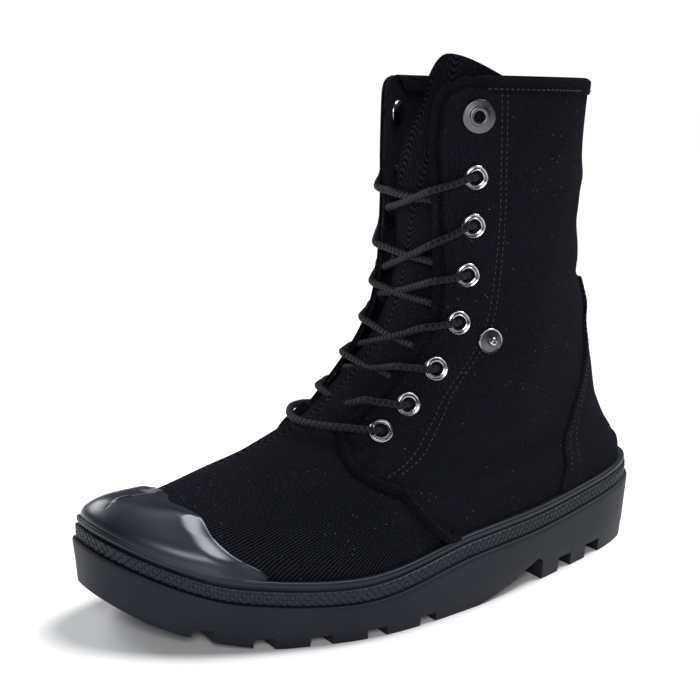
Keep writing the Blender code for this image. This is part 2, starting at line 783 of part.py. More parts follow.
def lace_route(start, end, over, under):
    # Points from beside one eyelet over its flap and down into the throat, to under the other flap
    points = []
    steps = 9
    for k in range(steps + 1):
        share = k / steps
        level = start[0] + (end[0] - start[0]) * share
        turn = start[1] + (end[1] - start[1]) * share
        edge = flap_turn(level)
        side = math.copysign(1.0, start[1])
        reach = side * turn
        brink = edge - LACE_INSET
        if reach > brink:
            lift = over
        else:
            fall = min(1.0, (brink - reach) / (edge * 0.9))
            lift = over + (under - over) * fall * fall * (3 - 2 * fall)
        points.append(on_upper(level, turn, lift))
    return points


def flap_turn(level):
    # Turn at which the flap's free edge lies on a ring
    low, high = 0.0, 0.25
    for _ in range(18):
        middle = (low + high) / 2
        point = upper_point(level, middle)
        if point[1] < throat_half(point[2]):
            low = middle
        else:
            high = middle
    return (low + high) / 2


def build_lace(material):
    over = LACE_THICK / 2 + GAP * 4.5
    under = -UPPER_WALL - LACE_THICK / 2 - GAP * 2.5
    level, turn = EYELETS[0]
    bar = []
    steps = 12
    for k in range(steps + 1):
        share = -1 + 2 * k / steps
        lift = ROLL_HEIGHT + LACE_THICK / 2 + 3 * GAP - BAR_DIP * share**6
        bar.append(on_upper(level, (turn - LACE_INSET) * share, lift))
    add_tube("lace_bar_1", sweep_round(bar, LACE_THICK, LACE_SIDES), material)
    for k in range(1, len(EYELETS)):
        level, turn = EYELETS[k]
        below = EYELETS[k - 1]
        fall = min((level - below[0]) * LACE_FALL, level - THROAT_LEVEL - LACE_CLEAR)
        edge = flap_turn(level - fall)
        parts = []
        for side in (1, -1):
            start = (level, side * (turn - LACE_INSET))
            end = (level - fall, -side * (edge - LACE_TUCK))
            parts.append(sweep_round(lace_route(start, end, over, under), LACE_THICK, LACE_SIDES))
        strand = add_tube("lace_crossing_%d" % (k + 1), parts[0], material)
        other = add_tube("lace_other_%d" % (k + 1), parts[1], None)
        other.hide_render = True
        other.display_type = "WIRE"
        cut(strand, other, "UNION")


def build_boot():
    clear_scene()
    canvas = make_material("black_canvas", (0.013, 0.013, 0.016), 0.9)
    rubber = make_material("black_rubber", (0.035, 0.037, 0.043), 0.5)
    lining = make_material("dark_lining", (0.02, 0.02, 0.022), 0.9)
    metal = make_material("gunmetal", (0.25, 0.25, 0.26), 0.3, 1.0)
    cord = make_material("black_cord", (0.012, 0.012, 0.014), 0.7)
    build_outsole(rubber)
    build_foxing(rubber)
    build_insole(lining)
    build_upper(canvas)
    build_toe_cap(rubber)
    build_heel_counter(canvas)
    build_rolls(canvas)
    build_collar_binding(canvas)
    build_tongue(canvas)
    build_eyelets(metal)
    build_snaps(metal)
    build_lace(cord)


build_boot()
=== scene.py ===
# Black canvas high-top boot (left foot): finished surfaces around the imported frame
import math

import bmesh
import bpy
import numpy as np
from mathutils import Matrix, Vector


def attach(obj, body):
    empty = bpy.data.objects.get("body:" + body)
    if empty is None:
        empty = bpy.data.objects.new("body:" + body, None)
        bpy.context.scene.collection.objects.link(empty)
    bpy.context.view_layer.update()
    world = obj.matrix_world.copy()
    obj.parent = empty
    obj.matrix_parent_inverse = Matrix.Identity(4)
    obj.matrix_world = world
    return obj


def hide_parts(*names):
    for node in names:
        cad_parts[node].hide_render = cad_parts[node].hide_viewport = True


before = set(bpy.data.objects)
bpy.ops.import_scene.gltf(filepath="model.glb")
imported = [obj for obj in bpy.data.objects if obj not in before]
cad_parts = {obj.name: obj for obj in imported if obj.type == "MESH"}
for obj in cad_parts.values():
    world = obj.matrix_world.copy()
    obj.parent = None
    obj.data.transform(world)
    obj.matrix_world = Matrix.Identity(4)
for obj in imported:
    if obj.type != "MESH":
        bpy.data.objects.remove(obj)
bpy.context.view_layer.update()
print("frame loaded")

# The boot's own sizes, in metres, and its ring table, as the frame was built from
last = {
    "soleLength": 0.3025,
    "ballWidth": 0.122,
    "collarHeight": 0.2375,
    "heelSole": 0.033,
    "wall": 0.0020,
    "gap": 0.0003,
    "foxing": 0.0106,
    "band": 0.0068,
}
half = last["soleLength"] / 2
ball = last["ballWidth"] / 2
collar = last["collarHeight"]
# back, backRise, front, frontRise, widths outer side (heel, waist, ball), inner side,
# nose, rear, swing, follow
upperRows = np.array((
    (-0.952, 0.000, 0.948, 0.000, 0.625, 0.760, 0.910, 0.625, 0.500, 0.720, 2.30, 2.3, -0.40, 1.00),
    (-0.945, 0.196, 0.960, 0.182, 0.635, 0.770, 0.915, 0.635, 0.530, 0.725, 2.30, 2.3, -0.40, 0.90),
    (-0.905, 0.240, 0.919, 0.230, 0.645, 0.750, 0.883, 0.645, 0.560, 0.730, 1.86, 2.3, -0.36, 0.75),
    (-0.856, 0.286, 0.803, 0.229, 0.620, 0.720, 0.817, 0.620, 0.590, 0.690, 1.73, 2.2, -0.30, 0.28),
    (-0.812, 0.337, 0.525, 0.280, 0.606, 0.704, 0.754, 0.606, 0.606, 0.631, 1.86, 2.1, -0.20, 0.14),
    (-0.775, 0.413, 0.345, 0.336, 0.590, 0.672, 0.661, 0.590, 0.623, 0.611, 2.00, 2.1, -0.10, 0.00),
    (-0.736, 0.497, 0.261, 0.389, 0.574, 0.640, 0.606, 0.574, 0.623, 0.606, 2.00, 2.1, -0.03, 0.00),
    (-0.700, 0.590, 0.124, 0.493, 0.574, 0.623, 0.606, 0.574, 0.623, 0.606, 2.00, 2.1, 0.00, 0.00),
    (-0.673, 0.674, 0.058, 0.602, 0.574, 0.606, 0.606, 0.574, 0.606, 0.606, 2.00, 2.1, 0.00, 0.00),
    (-0.660, 0.775, 0.038, 0.741, 0.590, 0.606, 0.606, 0.590, 0.606, 0.606, 2.05, 2.1, 0.00, 0.00),
    (-0.656, 0.863, 0.041, 0.863, 0.606, 0.623, 0.606, 0.606, 0.623, 0.606, 2.05, 2.1, 0.00, 0.00),
    (-0.663, 1.000, 0.041, 1.000, 0.623, 0.623, 0.606, 0.623, 0.623, 0.606, 2.05, 2.1, 0.00, 0.00),
))
topLevel = len(upperRows) - 1
throatLevel = 5.44
soleRow = np.array((-1.0, 0.0, 1.0, 0.0, 0.721, 0.852, 1.000, 0.721, 0.582, 0.803, 2.30, 2.3, -0.40, 0.0))
# share of the length from the heel, height of the wall's top and of the tread in heel-sole heights
sideLine = np.array((
    (0.00, 1.000, 0.000), (0.12, 0.925, 0.000), (0.30, 0.818, 0.000), (0.48, 0.770, 0.000),
    (0.68, 0.515, 0.000), (0.80, 0.590, 0.012), (0.87, 0.700, 0.130), (0.94, 0.950, 0.330),
    (1.00, 1.230, 0.640),
))
# height in collar heights, half gap of the throat in half ball widths
throatLine = np.array((
    (0.345, 0.000), (0.350, 0.130), (0.362, 0.185), (0.400, 0.262), (0.450, 0.310),
    (0.510, 0.350), (0.590, 0.362), (0.640, 0.338), (0.700, 0.318), (0.780, 0.303),
    (0.940, 0.298), (0.965, 0.318), (0.983, 0.360), (0.997, 0.440), (1.060, 0.560),
))
eyeletSpots = ((5.03, 0.123), (5.84, 0.137), (6.51, 0.147), (7.31, 0.150), (8.14, 0.149),
               (8.83, 0.152), (9.60, 0.153))
rollPath = np.array((
    (5.44, 0.060), (5.15, 0.073), (4.86, 0.088), (4.05, 0.133), (3.50, 0.173), (3.10, 0.200),
    (2.03, 0.226), (0.85, 0.250),
))


def smoothTable(table, where):
    # Smooth curve through a table whose first column is the place
    table = np.asarray(table, float)
    places = table[:, 0]
    values = table[:, 1:]
    widths = np.diff(places)
    slopes = np.diff(values, axis=0) / widths[:, None]
    tangents = np.empty_like(values)
    tangents[0] = slopes[0]
    tangents[-1] = slopes[-1]
    before = widths[:-1, None]
    after = widths[1:, None]
    tangents[1:-1] = (slopes[:-1] * after + slopes[1:] * before) / (before + after)
    at = np.clip(np.asarray(where, float), places[0], places[-1])
    i = np.clip(np.searchsorted(places, at, side="right") - 1, 0, len(widths) - 1)
    step = widths[i][..., None]
    t = (at - places[i])[..., None] / step
    start = (2 * t**3 - 3 * t**2 + 1) * values[i] + (t**3 - 2 * t**2 + t) * step * tangents[i]
    end = (3 * t**2 - 2 * t**3) * values[i + 1] + (t**3 - t**2) * step * tangents[i + 1]
    return start + end


def wallTop(x):
    return smoothTable(sideLine, (np.asarray(x) + half) / last["soleLength"])[..., 0] * last["heelSole"]


def treadHeight(x):
    share = (np.asarray(x) + half) / last["soleLength"]
    return np.maximum(0.0, smoothTable(sideLine, share)[..., 1] * last["heelSole"])


def sideWidth(share, heel, waist, ballPart):
    rear = np.clip((share - 0.15) / 0.30, 0, 1)
    fore = np.clip((share - 0.45) / 0.25, 0, 1)
    lean = (ballPart - heel) / 0.55 * 0.8
    easeRear = rear * rear * (3 - 2 * rear)
    easeFore = fore * fore * (3 - 2 * fore)
    low = heel + (waist - heel) * easeRear + (rear**3 - rear**2) * 0.30 * lean
    high = waist + (ballPart - waist) * easeFore + (fore**3 - 2 * fore**2 + fore) * 0.25 * lean
    return np.where(share < 0.45, low, high)


def ringPoints(row, turn, grow=0.0):
    # Points of a ring: turn 0 is the toe, 0.25 the outer side, 0.5 the heel, 0.75 the inner side
    row = np.asarray(row)
    back = row[..., 0] * half - grow
    front = row[..., 2] * half + grow
    angle = 2 * np.pi * np.asarray(turn, float)
    across = np.sin(angle)
    along = np.cos(angle)
    power = 2 / np.where(along > 0, row[..., 10], row[..., 11])
    share = (1 + np.sign(along) * np.abs(along)**power) / 2
    outerSide = sideWidth(share, row[..., 4], row[..., 5], row[..., 6])
    innerSide = sideWidth(share, row[..., 7], row[..., 8], row[..., 9])
    width = np.where(across > 0, outerSide, innerSide) * ball + grow
    swing = row[..., 12] * ball * np.maximum(0.0, (share - 0.45) / 0.55)**1.5
    y = np.sign(across) * width * np.abs(across)**power + swing - sideShift
    x = back + (front - back) * share
    backTop = wallTop(back)
    frontTop = wallTop(front)
    line = backTop + (frontTop - backTop) * share
    rise = (row[..., 1] + (row[..., 3] - row[..., 1]) * share) * collar
    z = rise + row[..., 13] * (wallTop(x) - line)
    return np.stack(np.broadcast_arrays(x, y, z), axis=-1)


sideShift = 0.0
soleReach = ringPoints(soleRow, np.arange(400) / 400)[:, 1]
sideShift = float(soleReach.max() + soleReach.min()) / 2
levelTable = np.column_stack((np.arange(len(upperRows)), upperRows))


def upperPoints(level, turn):
    # Outer surface of the upper; above the last ring the shaft goes straight on
    level, turn = np.broadcast_arrays(np.asarray(level, float), np.asarray(turn, float))
    held = np.clip(level, 0.0, topLevel)
    points = ringPoints(smoothTable(levelTable, held), turn)
    first = ringPoints(smoothTable(levelTable, np.ones_like(held)), turn)
    stand = first[..., 2] - wallTop(first[..., 0])
    low = wallTop(points[..., 0]) + last["gap"] + (stand - last["gap"]) * held
    points[..., 2] = np.where(held < 1, low, points[..., 2])
    points[..., 2] += np.maximum(0.0, level - topLevel) * collar * 0.1
    return points


def upperNormals(level, turn):
    level, turn = np.broadcast_arrays(np.asarray(level, float), np.asarray(turn, float))
    low = np.maximum(level - 0.02, 0.0)
    around = upperPoints(level, turn + 0.002) - upperPoints(level, turn - 0.002)
    upward = upperPoints(low + 0.04, turn) - upperPoints(low, turn)
    normal = np.cross(around, upward)
    normal[..., 2] = np.where(level < 0.5, 0.0, normal[..., 2])
    return normal / np.linalg.norm(normal, axis=-1, keepdims=True)


def onUpper(level, turn, offset=0.0):
    level, turn, offset = np.broadcast_arrays(*(np.asarray(v, float) for v in (level, turn, offset)))
    return upperPoints(level, turn) + upperNormals(level, turn) * offset[..., None]


def throatHalf(height):
    return smoothTable(throatLine, np.asarray(height) / collar)[..., 0] * ball


def flapTurn(level):
    # Turn at which the flap's free edge lies on each ring
    level = np.asarray(level, float)
    low = np.zeros_like(level)
    high = np.full_like(level, 0.25)
    for _ in range(20):
        middle = (low + high) / 2
        point = upperPoints(level, middle)
        inside = point[..., 1] < throatHalf(point[..., 2])
        low = np.where(inside, middle, low)
        high = np.where(inside, high, middle)
    return (low + high) / 2


def lipLevel(turn, height):
    # Ring level at which the upper stands a given height above the outsole's edge
    turn = np.asarray(turn, float)
    low = np.zeros_like(turn)
    high = np.full_like(turn, 2.0)
    for _ in range(20):
        middle = (low + high) / 2
        point = upperPoints(middle, turn)
        under = point[..., 2] - wallTop(point[..., 0]) < height
        low = np.where(under, middle, low)
        high = np.where(under, high, middle)
    return (low + high) / 2


def easeStep(value):
    value = np.clip(value, 0, 1)
    return value * value * (3 - 2 * value)


# Mesh making

def newPiece(name, points, faces, material, uv=None, sharp=40):
    # Mesh object from arrays; uv holds one entry for each point
    mesh = bpy.data.meshes.new(name)
    mesh.from_pydata(np.asarray(points, float).tolist(), [], [tuple(int(i) for i in f) for f in faces])
    if uv is not None:
        layer = mesh.uv_layers.new(name="cloth")
        corners = np.empty(len(mesh.loops), dtype=np.int32)
        mesh.loops.foreach_get("vertex_index", corners)
        layer.data.foreach_set("uv", np.asarray(uv, float)[corners].ravel())
    bm = bmesh.new()
    bm.from_mesh(mesh)
    bmesh.ops.recalc_face_normals(bm, faces=bm.faces)
    if bm.calc_volume(signed=True) < 0:
        bmesh.ops.reverse_faces(bm, faces=bm.faces)
    bm.to_mesh(mesh)
    bm.free()
    mesh.shade_smooth()
    mesh.set_sharp_from_angle(angle=math.radians(sharp))
    piece = bpy.data.objects.new(name, mesh)
    bpy.context.collection.objects.link(piece)
    mesh.materials.append(material)
    return piece


def finishPiece(piece, slotName, *nodes):
    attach(piece, "root")
    if nodes:
        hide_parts(*nodes)
    return piece


def shellFaces(rows, columns):
    # Faces of a closed plate: points are all outer rows, then all inner rows
    i = np.arange(rows - 1)[:, None]
    j = np.arange(columns - 1)[None, :]
    k = j + 1
    a = i * columns + j
    b = i * columns + k
    c = (i + 1) * columns + k
    d = (i + 1) * columns + j
    size = rows * columns
    outer = np.stack([a, b, c, d], -1).reshape(-1, 4)
    faces = [outer, outer[:, ::-1] + size]
    bottom = np.stack([j[0], k[0], k[0] + size, j[0] + size], -1)
    top = (rows - 1) * columns
    crest = np.stack([j[0] + top, k[0] + top, k[0] + top + size, j[0] + top + size], -1)
    faces += [bottom[:, ::-1], crest]
    for column in (0, columns - 1):
        left = np.arange(rows - 1) * columns + column
        edge = np.stack([left, left + columns, left + columns + size, left + size], -1)
        faces.append(edge if column == 0 else edge[:, ::-1])
    return np.concatenate(faces)


def distanceAlong(points, axis):
    # Running length of a grid or line of points along one axis, from zero
    first = points[:, :1] if axis == 1 else points[:1]
    return np.cumsum(np.linalg.norm(np.diff(points, axis=axis, prepend=first), axis=-1), axis=axis)


def clothShell(name, level, turn, outer, inner, material):
    # Curved plate on the upper: level and turn are grids, outer and inner are offsets
    # or finished points
    rows, columns = level.shape
    outerPoints = outer if np.ndim(outer) == 3 else onUpper(level, turn, outer)
    innerPoints = inner if np.ndim(inner) == 3 else onUpper(level, turn, inner)
    points = np.concatenate([outerPoints.reshape(-1, 3), innerPoints.reshape(-1, 3)])
    around = distanceAlong(outerPoints, 1)
    around -= around[:, columns // 2][:, None]
    upward = distanceAlong(outerPoints, 0)
    uv = np.stack([around, upward], -1).reshape(-1, 2)
    return newPiece(name, points, shellFaces(rows, columns), material, np.concatenate([uv, uv]))


def tubeLoops(points, radius, sides):
    # Loops of a round cord along points, carried without twist
    points = np.asarray(points, float)
    along = np.gradient(points, axis=0)
    along /= np.linalg.norm(along, axis=1, keepdims=True)
    side = np.cross(along[0], (0.0, 0.0, 1.0))
    if np.linalg.norm(side) < 1e-6:
        side = np.array((1.0, 0.0, 0.0))
    angles = 2 * np.pi * np.arange(sides) / sides
    loops = []
    for point, direction in zip(points, along):
        side = side - direction * np.dot(side, direction)
        side /= np.linalg.norm(side)
        other = np.cross(direction, side)
        ring = np.cos(angles)[:, None] * side + np.sin(angles)[:, None] * other
        loops.append(point + ring * radius)
    return np.array(loops)


def tubePiece(name, loops, material, run):
    # Closed tube through loops of points; run is the length along it at each loop
    rows, sides = loops.shape[:2]
    i = np.arange(rows - 1)[:, None]
    j = np.arange(sides)[None, :]
    k = (j + 1) % sides
    ahead = i + 1
    skin = np.stack([i * sides + j, i * sides + k, ahead * sides + k, ahead * sides + j], -1)
    faces = [tuple(f) for f in skin.reshape(-1, 4)]
    faces.append(tuple(range(sides))[::-1])
    faces.append(tuple((rows - 1) * sides + s for s in range(sides)))
    uv = np.zeros((rows, sides, 2))
    uv[..., 0] = 2 * np.abs(np.arange(sides) / sides - 0.5)
    uv[..., 1] = run[:, None]
    return newPiece(name, loops.reshape(-1, 3), faces, material, uv.reshape(-1, 2))


def smoothPath(points, count):
    # Smooth curve through points, resampled at even steps
    points = np.asarray(points, float)
    gaps = np.linalg.norm(np.diff(points, axis=0), axis=1)
    places = np.concatenate([[0], np.cumsum(np.sqrt(gaps))])
    fine = smoothTable(np.column_stack((places, points)), np.linspace(0, places[-1], count * 8))
    run = distanceAlong(fine, 0)
    steps = np.linspace(0, run[-1], count)
    even = [np.interp(steps, run, fine[:, axis]) for axis in range(points.shape[1])]
    return np.column_stack(even), steps


print("helpers ready")

# Materials

def nodeAdd(tree, kind, place, **settings):
    node = tree.nodes.new(kind)
    node.location = place
    for key, value in settings.items():
        if key in node.inputs:
            node.inputs[key].default_value = value
        else:
            setattr(node, key, value)
    return node


def rangeNode(tree, place, value, low, high, fromLow=0.0, fromHigh=1.0):
    node = nodeAdd(tree, "ShaderNodeMapRange", place)
    for key, number in (("From Min", fromLow), ("From Max", fromHigh), ("To Min", low), ("To Max", high)):
        node.inputs[key].default_value = number
    tree.links.new(value, node.inputs["Value"])
    return node.outputs[0]


def tintNode(tree, place, colour, factor):
    # The colour made lighter and darker by a factor
    node = nodeAdd(tree, "ShaderNodeVectorMath", place, operation="SCALE")
    node.inputs[0].default_value = colour
    tree.links.new(factor, node.inputs["Scale"])
    return node.outputs[0]


def noiseNode(tree, place, spot, scale, detail):
    node = nodeAdd(tree, "ShaderNodeTexNoise", place, Scale=scale, Detail=detail)
    tree.links.new(spot.outputs["Object"], node.inputs["Vector"])
    return node.outputs["Fac"]


def bumpNode(tree, place, shader, height, strength, distance):
    node = nodeAdd(tree, "ShaderNodeBump", place, Strength=strength, Distance=distance)
    tree.links.new(height, node.inputs["Height"])
    tree.links.new(node.outputs[0], shader.inputs["Normal"])


def startMaterial(name, colour, roughness, **sockets):
    material = bpy.data.materials.new(name)
    material.use_nodes = True
    tree = material.node_tree
    shader = tree.nodes["Principled BSDF"]
    shader.inputs["Base Color"].default_value = (*colour, 1)
    shader.inputs["Roughness"].default_value = roughness
    for key, value in sockets.items():
        shader.inputs[key].default_value = value
    return material, tree, shader


def mathNode(tree, operation, place, first, second=None):
    node = nodeAdd(tree, "ShaderNodeMath", place, operation=operation)
    for index, value in enumerate((first, second)):
        if value is None:
            continue
        if isinstance(value, (int, float)):
            node.inputs[index].default_value = value
        else:
            tree.links.new(value, node.inputs[index])
    return node.outputs[0]


def canvasMaterial(name, ribAngle, ribPitch, weftPitch, ribDepth, colour, lint=1.0):
    # Woven canvas: warp ribs crossed by weft, a little lint and uneven dye, with a painted highlight on the
    # thread tops and painted shade in the gaps between them; the pattern follows the uv in metres
    material, tree, shader = startMaterial(name, colour, 0.9, **{
        "Sheen Weight": 0.006, "Sheen Roughness": 0.5, "Specular IOR Level": 0.025})
    shader.inputs["Sheen Tint"].default_value = (0.80, 0.86, 1.0, 1)
    links = tree.links
    place = nodeAdd(tree, "ShaderNodeUVMap", (-1500, 0), uv_map="cloth")
    turned = nodeAdd(tree, "ShaderNodeMapping", (-1300, 0))
    turned.inputs["Rotation"].default_value = (0, 0, math.radians(ribAngle))
    links.new(place.outputs[0], turned.inputs[0])
    spot = nodeAdd(tree, "ShaderNodeTexCoord", (-1500, -500))
    split = nodeAdd(tree, "ShaderNodeSeparateXYZ", (-1100, 0))
    links.new(turned.outputs[0], split.inputs[0])
    wander = noiseNode(tree, (-1300, -300), spot, 110.0, 1.5)
    drift = mathNode(tree, "MULTIPLY", (-1100, -300), wander, ribPitch * 0.7)
    waves = []
    for axis, pitch, height in ((0, ribPitch, 100), (1, weftPitch, -100)):
        along = mathNode(tree, "ADD", (-950, height), split.outputs[axis], drift)
        angle = mathNode(tree, "MULTIPLY", (-800, height), along, 2 * math.pi / pitch)
        waves.append(mathNode(tree, "SINE", (-650, height), angle))
    cross = mathNode(tree, "MULTIPLY", (-500, 0), *waves)
    weave = mathNode(tree, "ADD", (-350, 0), mathNode(tree, "MULTIPLY", (-430, 120), waves[0], ribDepth),
                     mathNode(tree, "MULTIPLY", (-430, -120), cross, 0.55))
    fuzz = noiseNode(tree, (-700, -400), spot, 1500.0, 3.0)
    total = mathNode(tree, "ADD", (-200, 0), weave, mathNode(tree, "MULTIPLY", (-400, -350), fuzz, 2.4))
    bumpNode(tree, (-50, -250), shader, total, 1.0, 0.00030)
    # Painted light: the base colour is painted lighter on the thread tops as a painted highlight and darker
    # in the gaps between them as painted shade
    shade = rangeNode(tree, (-200, 300), total, 0.08, 3.0, 0.4, 2.3)
    dye = rangeNode(tree, (-500, 500), noiseNode(tree, (-700, 500), spot, 34.0, 3.0), 0.75, 1.25)
    tint = tintNode(tree, (100, 350), colour, mathNode(tree, "MULTIPLY", (-50, 350), shade, dye))
    # Lint: sparse pale specks
    specks = nodeAdd(tree, "ShaderNodeTexVoronoi", (-300, 700), Scale=330.0)
    links.new(spot.outputs["Object"], specks.inputs["Vector"])
    dot = mathNode(tree, "LESS_THAN", (-100, 700), specks.outputs["Distance"], 0.10)
    some = mathNode(tree, "GREATER_THAN", (-100, 900), noiseNode(tree, (-300, 950), spot, 60.0, 1.0), 0.53)
    amount = mathNode(tree, "MULTIPLY", (50, 800), mathNode(tree, "MULTIPLY", (0, 700), dot, some),
                      lint * 0.35)
    mix = nodeAdd(tree, "ShaderNodeMix", (250, 500), data_type="RGBA")
    links.new(amount, mix.inputs["Factor"])
    links.new(tint, mix.inputs[6])
    mix.inputs[7].default_value = (0.30, 0.31, 0.33, 1)
    links.new(mix.outputs[2], shader.inputs["Base Color"])
    return material


def rubberMaterial(name, colour, roughness, grain, coat=0.0, gloss=0.4):
    # Moulded rubber: fine grain and duller patches
    material, tree, shader = startMaterial(name, colour, roughness, **{
        "Coat Weight": coat, "Coat Roughness": 0.25, "Specular IOR Level": gloss})
    shader.inputs["Specular Tint"].default_value = (0.78, 0.86, 1.0, 1)
    spot = nodeAdd(tree, "ShaderNodeTexCoord", (-1100, 0))
    fine = noiseNode(tree, (-800, -200), spot, 1500.0, 3.0)
    broad = noiseNode(tree, (-800, 200), spot, 45.0, 4.0)
    bumpNode(tree, (-300, -250), shader, fine, 0.6, grain)
    rough = rangeNode(tree, (-450, 50), broad, roughness - 0.09, roughness + 0.12)
    tree.links.new(rough, shader.inputs["Roughness"])
    tint = tintNode(tree, (-250, 350), colour, rangeNode(tree, (-450, 350), broad, 0.45, 1.6))
    tree.links.new(tint, shader.inputs["Base Color"])
    return material


def metalMaterial(name, colour, roughness, pits, dents=0.00008):
    material, tree, shader = startMaterial(name, colour, roughness, **{"Metallic": 1.0})
    spot = nodeAdd(tree, "ShaderNodeTexCoord", (-900, 0))
    wear = noiseNode(tree, (-700, 0), spot, 700.0, 3.0)
    rough = rangeNode(tree, (-450, 50), wear, max(0.05, roughness - 0.12), roughness + pits)
    tree.links.new(rough, shader.inputs["Roughness"])
    bumpNode(tree, (-300, -250), shader, wear, 0.25, dents)
    return material


def braidMaterial(name, colour, pitch):
    # Round braided cord: strands cross both ways along the uv, u once round, v in metres; the base colour
    # carries a painted highlight on the strand crests and painted shade in the grooves between them
    material, tree, shader = startMaterial(name, colour, 0.62, **{
        "Sheen Weight": 0.02, "Specular IOR Level": 0.14})
    place = nodeAdd(tree, "ShaderNodeUVMap", (-1300, 0), uv_map="cloth")
    split = nodeAdd(tree, "ShaderNodeSeparateXYZ", (-1100, 0))
    tree.links.new(place.outputs[0], split.inputs[0])
    around = mathNode(tree, "MULTIPLY", (-900, 100), split.outputs[0], 2.0 * math.pi)
    along = mathNode(tree, "MULTIPLY", (-900, -100), split.outputs[1], 2.0 * math.pi / pitch)
    one = mathNode(tree, "SINE", (-600, 100), mathNode(tree, "ADD", (-750, 100), along, around))
    two = mathNode(tree, "SINE", (-600, -100), mathNode(tree, "SUBTRACT", (-750, -100), along, around))
    height = mathNode(tree, "MAXIMUM", (-450, 0), one, two)
    bumpNode(tree, (-250, -200), shader, height, 0.9, 0.00035)
    # Painted light: strand crests are painted lighter as a painted highlight and the grooves between strands
    # darker as painted shade
    tint = tintNode(tree, (-50, 200), colour, rangeNode(tree, (-250, 200), height, 0.35, 1.7, -0.4, 1.0))
    tree.links.new(tint, shader.inputs["Base Color"])
    return material


blackDye = (0.0066, 0.0070, 0.0102)
vampCanvas = canvasMaterial("vampCanvas", 38, 0.00180, 0.00125, 1.0, blackDye, lint=0.6)
shaftCanvas = canvasMaterial("shaftCanvas", 0, 0.00105, 0.00085, 0.5, blackDye, lint=1.0)
bindingCanvas = canvasMaterial("bindingCanvas", 0, 0.00095, 0.00070, 0.6, blackDye, lint=0.5)
rollCanvas = canvasMaterial("rollCanvas", 45, 0.00100, 0.00080, 0.5, blackDye, lint=0.3)
liningCloth = canvasMaterial("liningCloth", 45, 0.00090, 0.00090, 0.5, (0.014, 0.014, 0.016), lint=0.2)
outsoleRubber = rubberMaterial("outsoleRubber", (0.0105, 0.0115, 0.0165), 0.55, 0.00022, gloss=0.20)
foxingRubber = rubberMaterial("foxingRubber", (0.0080, 0.0090, 0.0135), 0.44, 0.00008, gloss=0.32)
capRubber = rubberMaterial("capRubber", (0.0095, 0.0105, 0.0155), 0.37, 0.00005, coat=0.30, gloss=0.5)
eyeletNickel = metalMaterial("eyeletNickel", (0.38, 0.38, 0.40), 0.22, 0.08, 0.00001)
snapMetal = metalMaterial("snapMetal", (0.12, 0.12, 0.13), 0.30, 0.22)
laceCord = braidMaterial("laceCord", (0.0085, 0.0088, 0.0115), 0.0026)
threadBlack = startMaterial("threadBlack", (0.016, 0.017, 0.021), 0.6)[0]
print("materials ready")

# Sole

outsoleSpec = {
    "columns": 260,
    "taper": 0.0018,
    "ledge": 0.0011,
    "foreNotches": ((0.551, 0.030), (0.639, 0.031), (0.721, 0.031), (0.798, 0.028), (0.874, 0.026)),
    "heelNotches": ((0.023, 0.026), (0.142, 0.042), (0.228, 0.036)),
    "foreDepth": 0.0043,
    "heelDepth": 0.0070,
    "archRise": 0.0120,
    "archStart": 0.309,
    "archEnd": 0.463,
    "archCorner": 0.004,
    "archPower": 1.15,
    "centreGrooves": ((0.50, 0.90, 0.35), (0.06, 0.279, 0.0)),  # start, end, how far it follows the toe
    "groove": 0.0080,
    "grooveDepth": 0.0035,
    "below": -0.02,  # cutters reach this far under the floor
    "edge": 0.0005,
}


def evenTurns(count):
    # Turns at even steps along the sole's outline, and the outline's length
    turns = np.linspace(0, 1, 4001)
    points = ringPoints(soleRow, turns)
    run = distanceAlong(points[:, :2], 0)
    return np.interp(np.arange(count) / count * run[-1], run, turns), run[-1]


def boxCutter(boxes):
    # One mesh of several boxes given by lowest and highest corners
    points = []
    faces = []
    for low, high in boxes:
        base = len(points)
        points += [(x, y, z) for z in (low[2], high[2]) for x, y in
                   ((low[0], low[1]), (high[0], low[1]), (high[0], high[1]), (low[0], high[1]))]
        faces += [tuple(base + k for k in f) for f in
                  ((3, 2, 1, 0), (4, 5, 6, 7), (0, 1, 5, 4), (1, 2, 6, 5), (2, 3, 7, 6), (3, 0, 4, 7))]
    return points, faces


def applyModifier(piece, modifier):
    bpy.ops.object.select_all(action="DESELECT")
    bpy.context.view_layer.objects.active = piece
    piece.select_set(True)
    bpy.ops.object.modifier_apply(modifier=modifier.name)


def applyCut(piece, points, faces):
    cutter = newPiece("cutter", points, faces, outsoleRubber)
    modifier = piece.modifiers.new("cut", "BOOLEAN")
    modifier.object = cutter
    modifier.solver = "EXACT"
    applyModifier(piece, modifier)
    bpy.data.objects.remove(cutter)


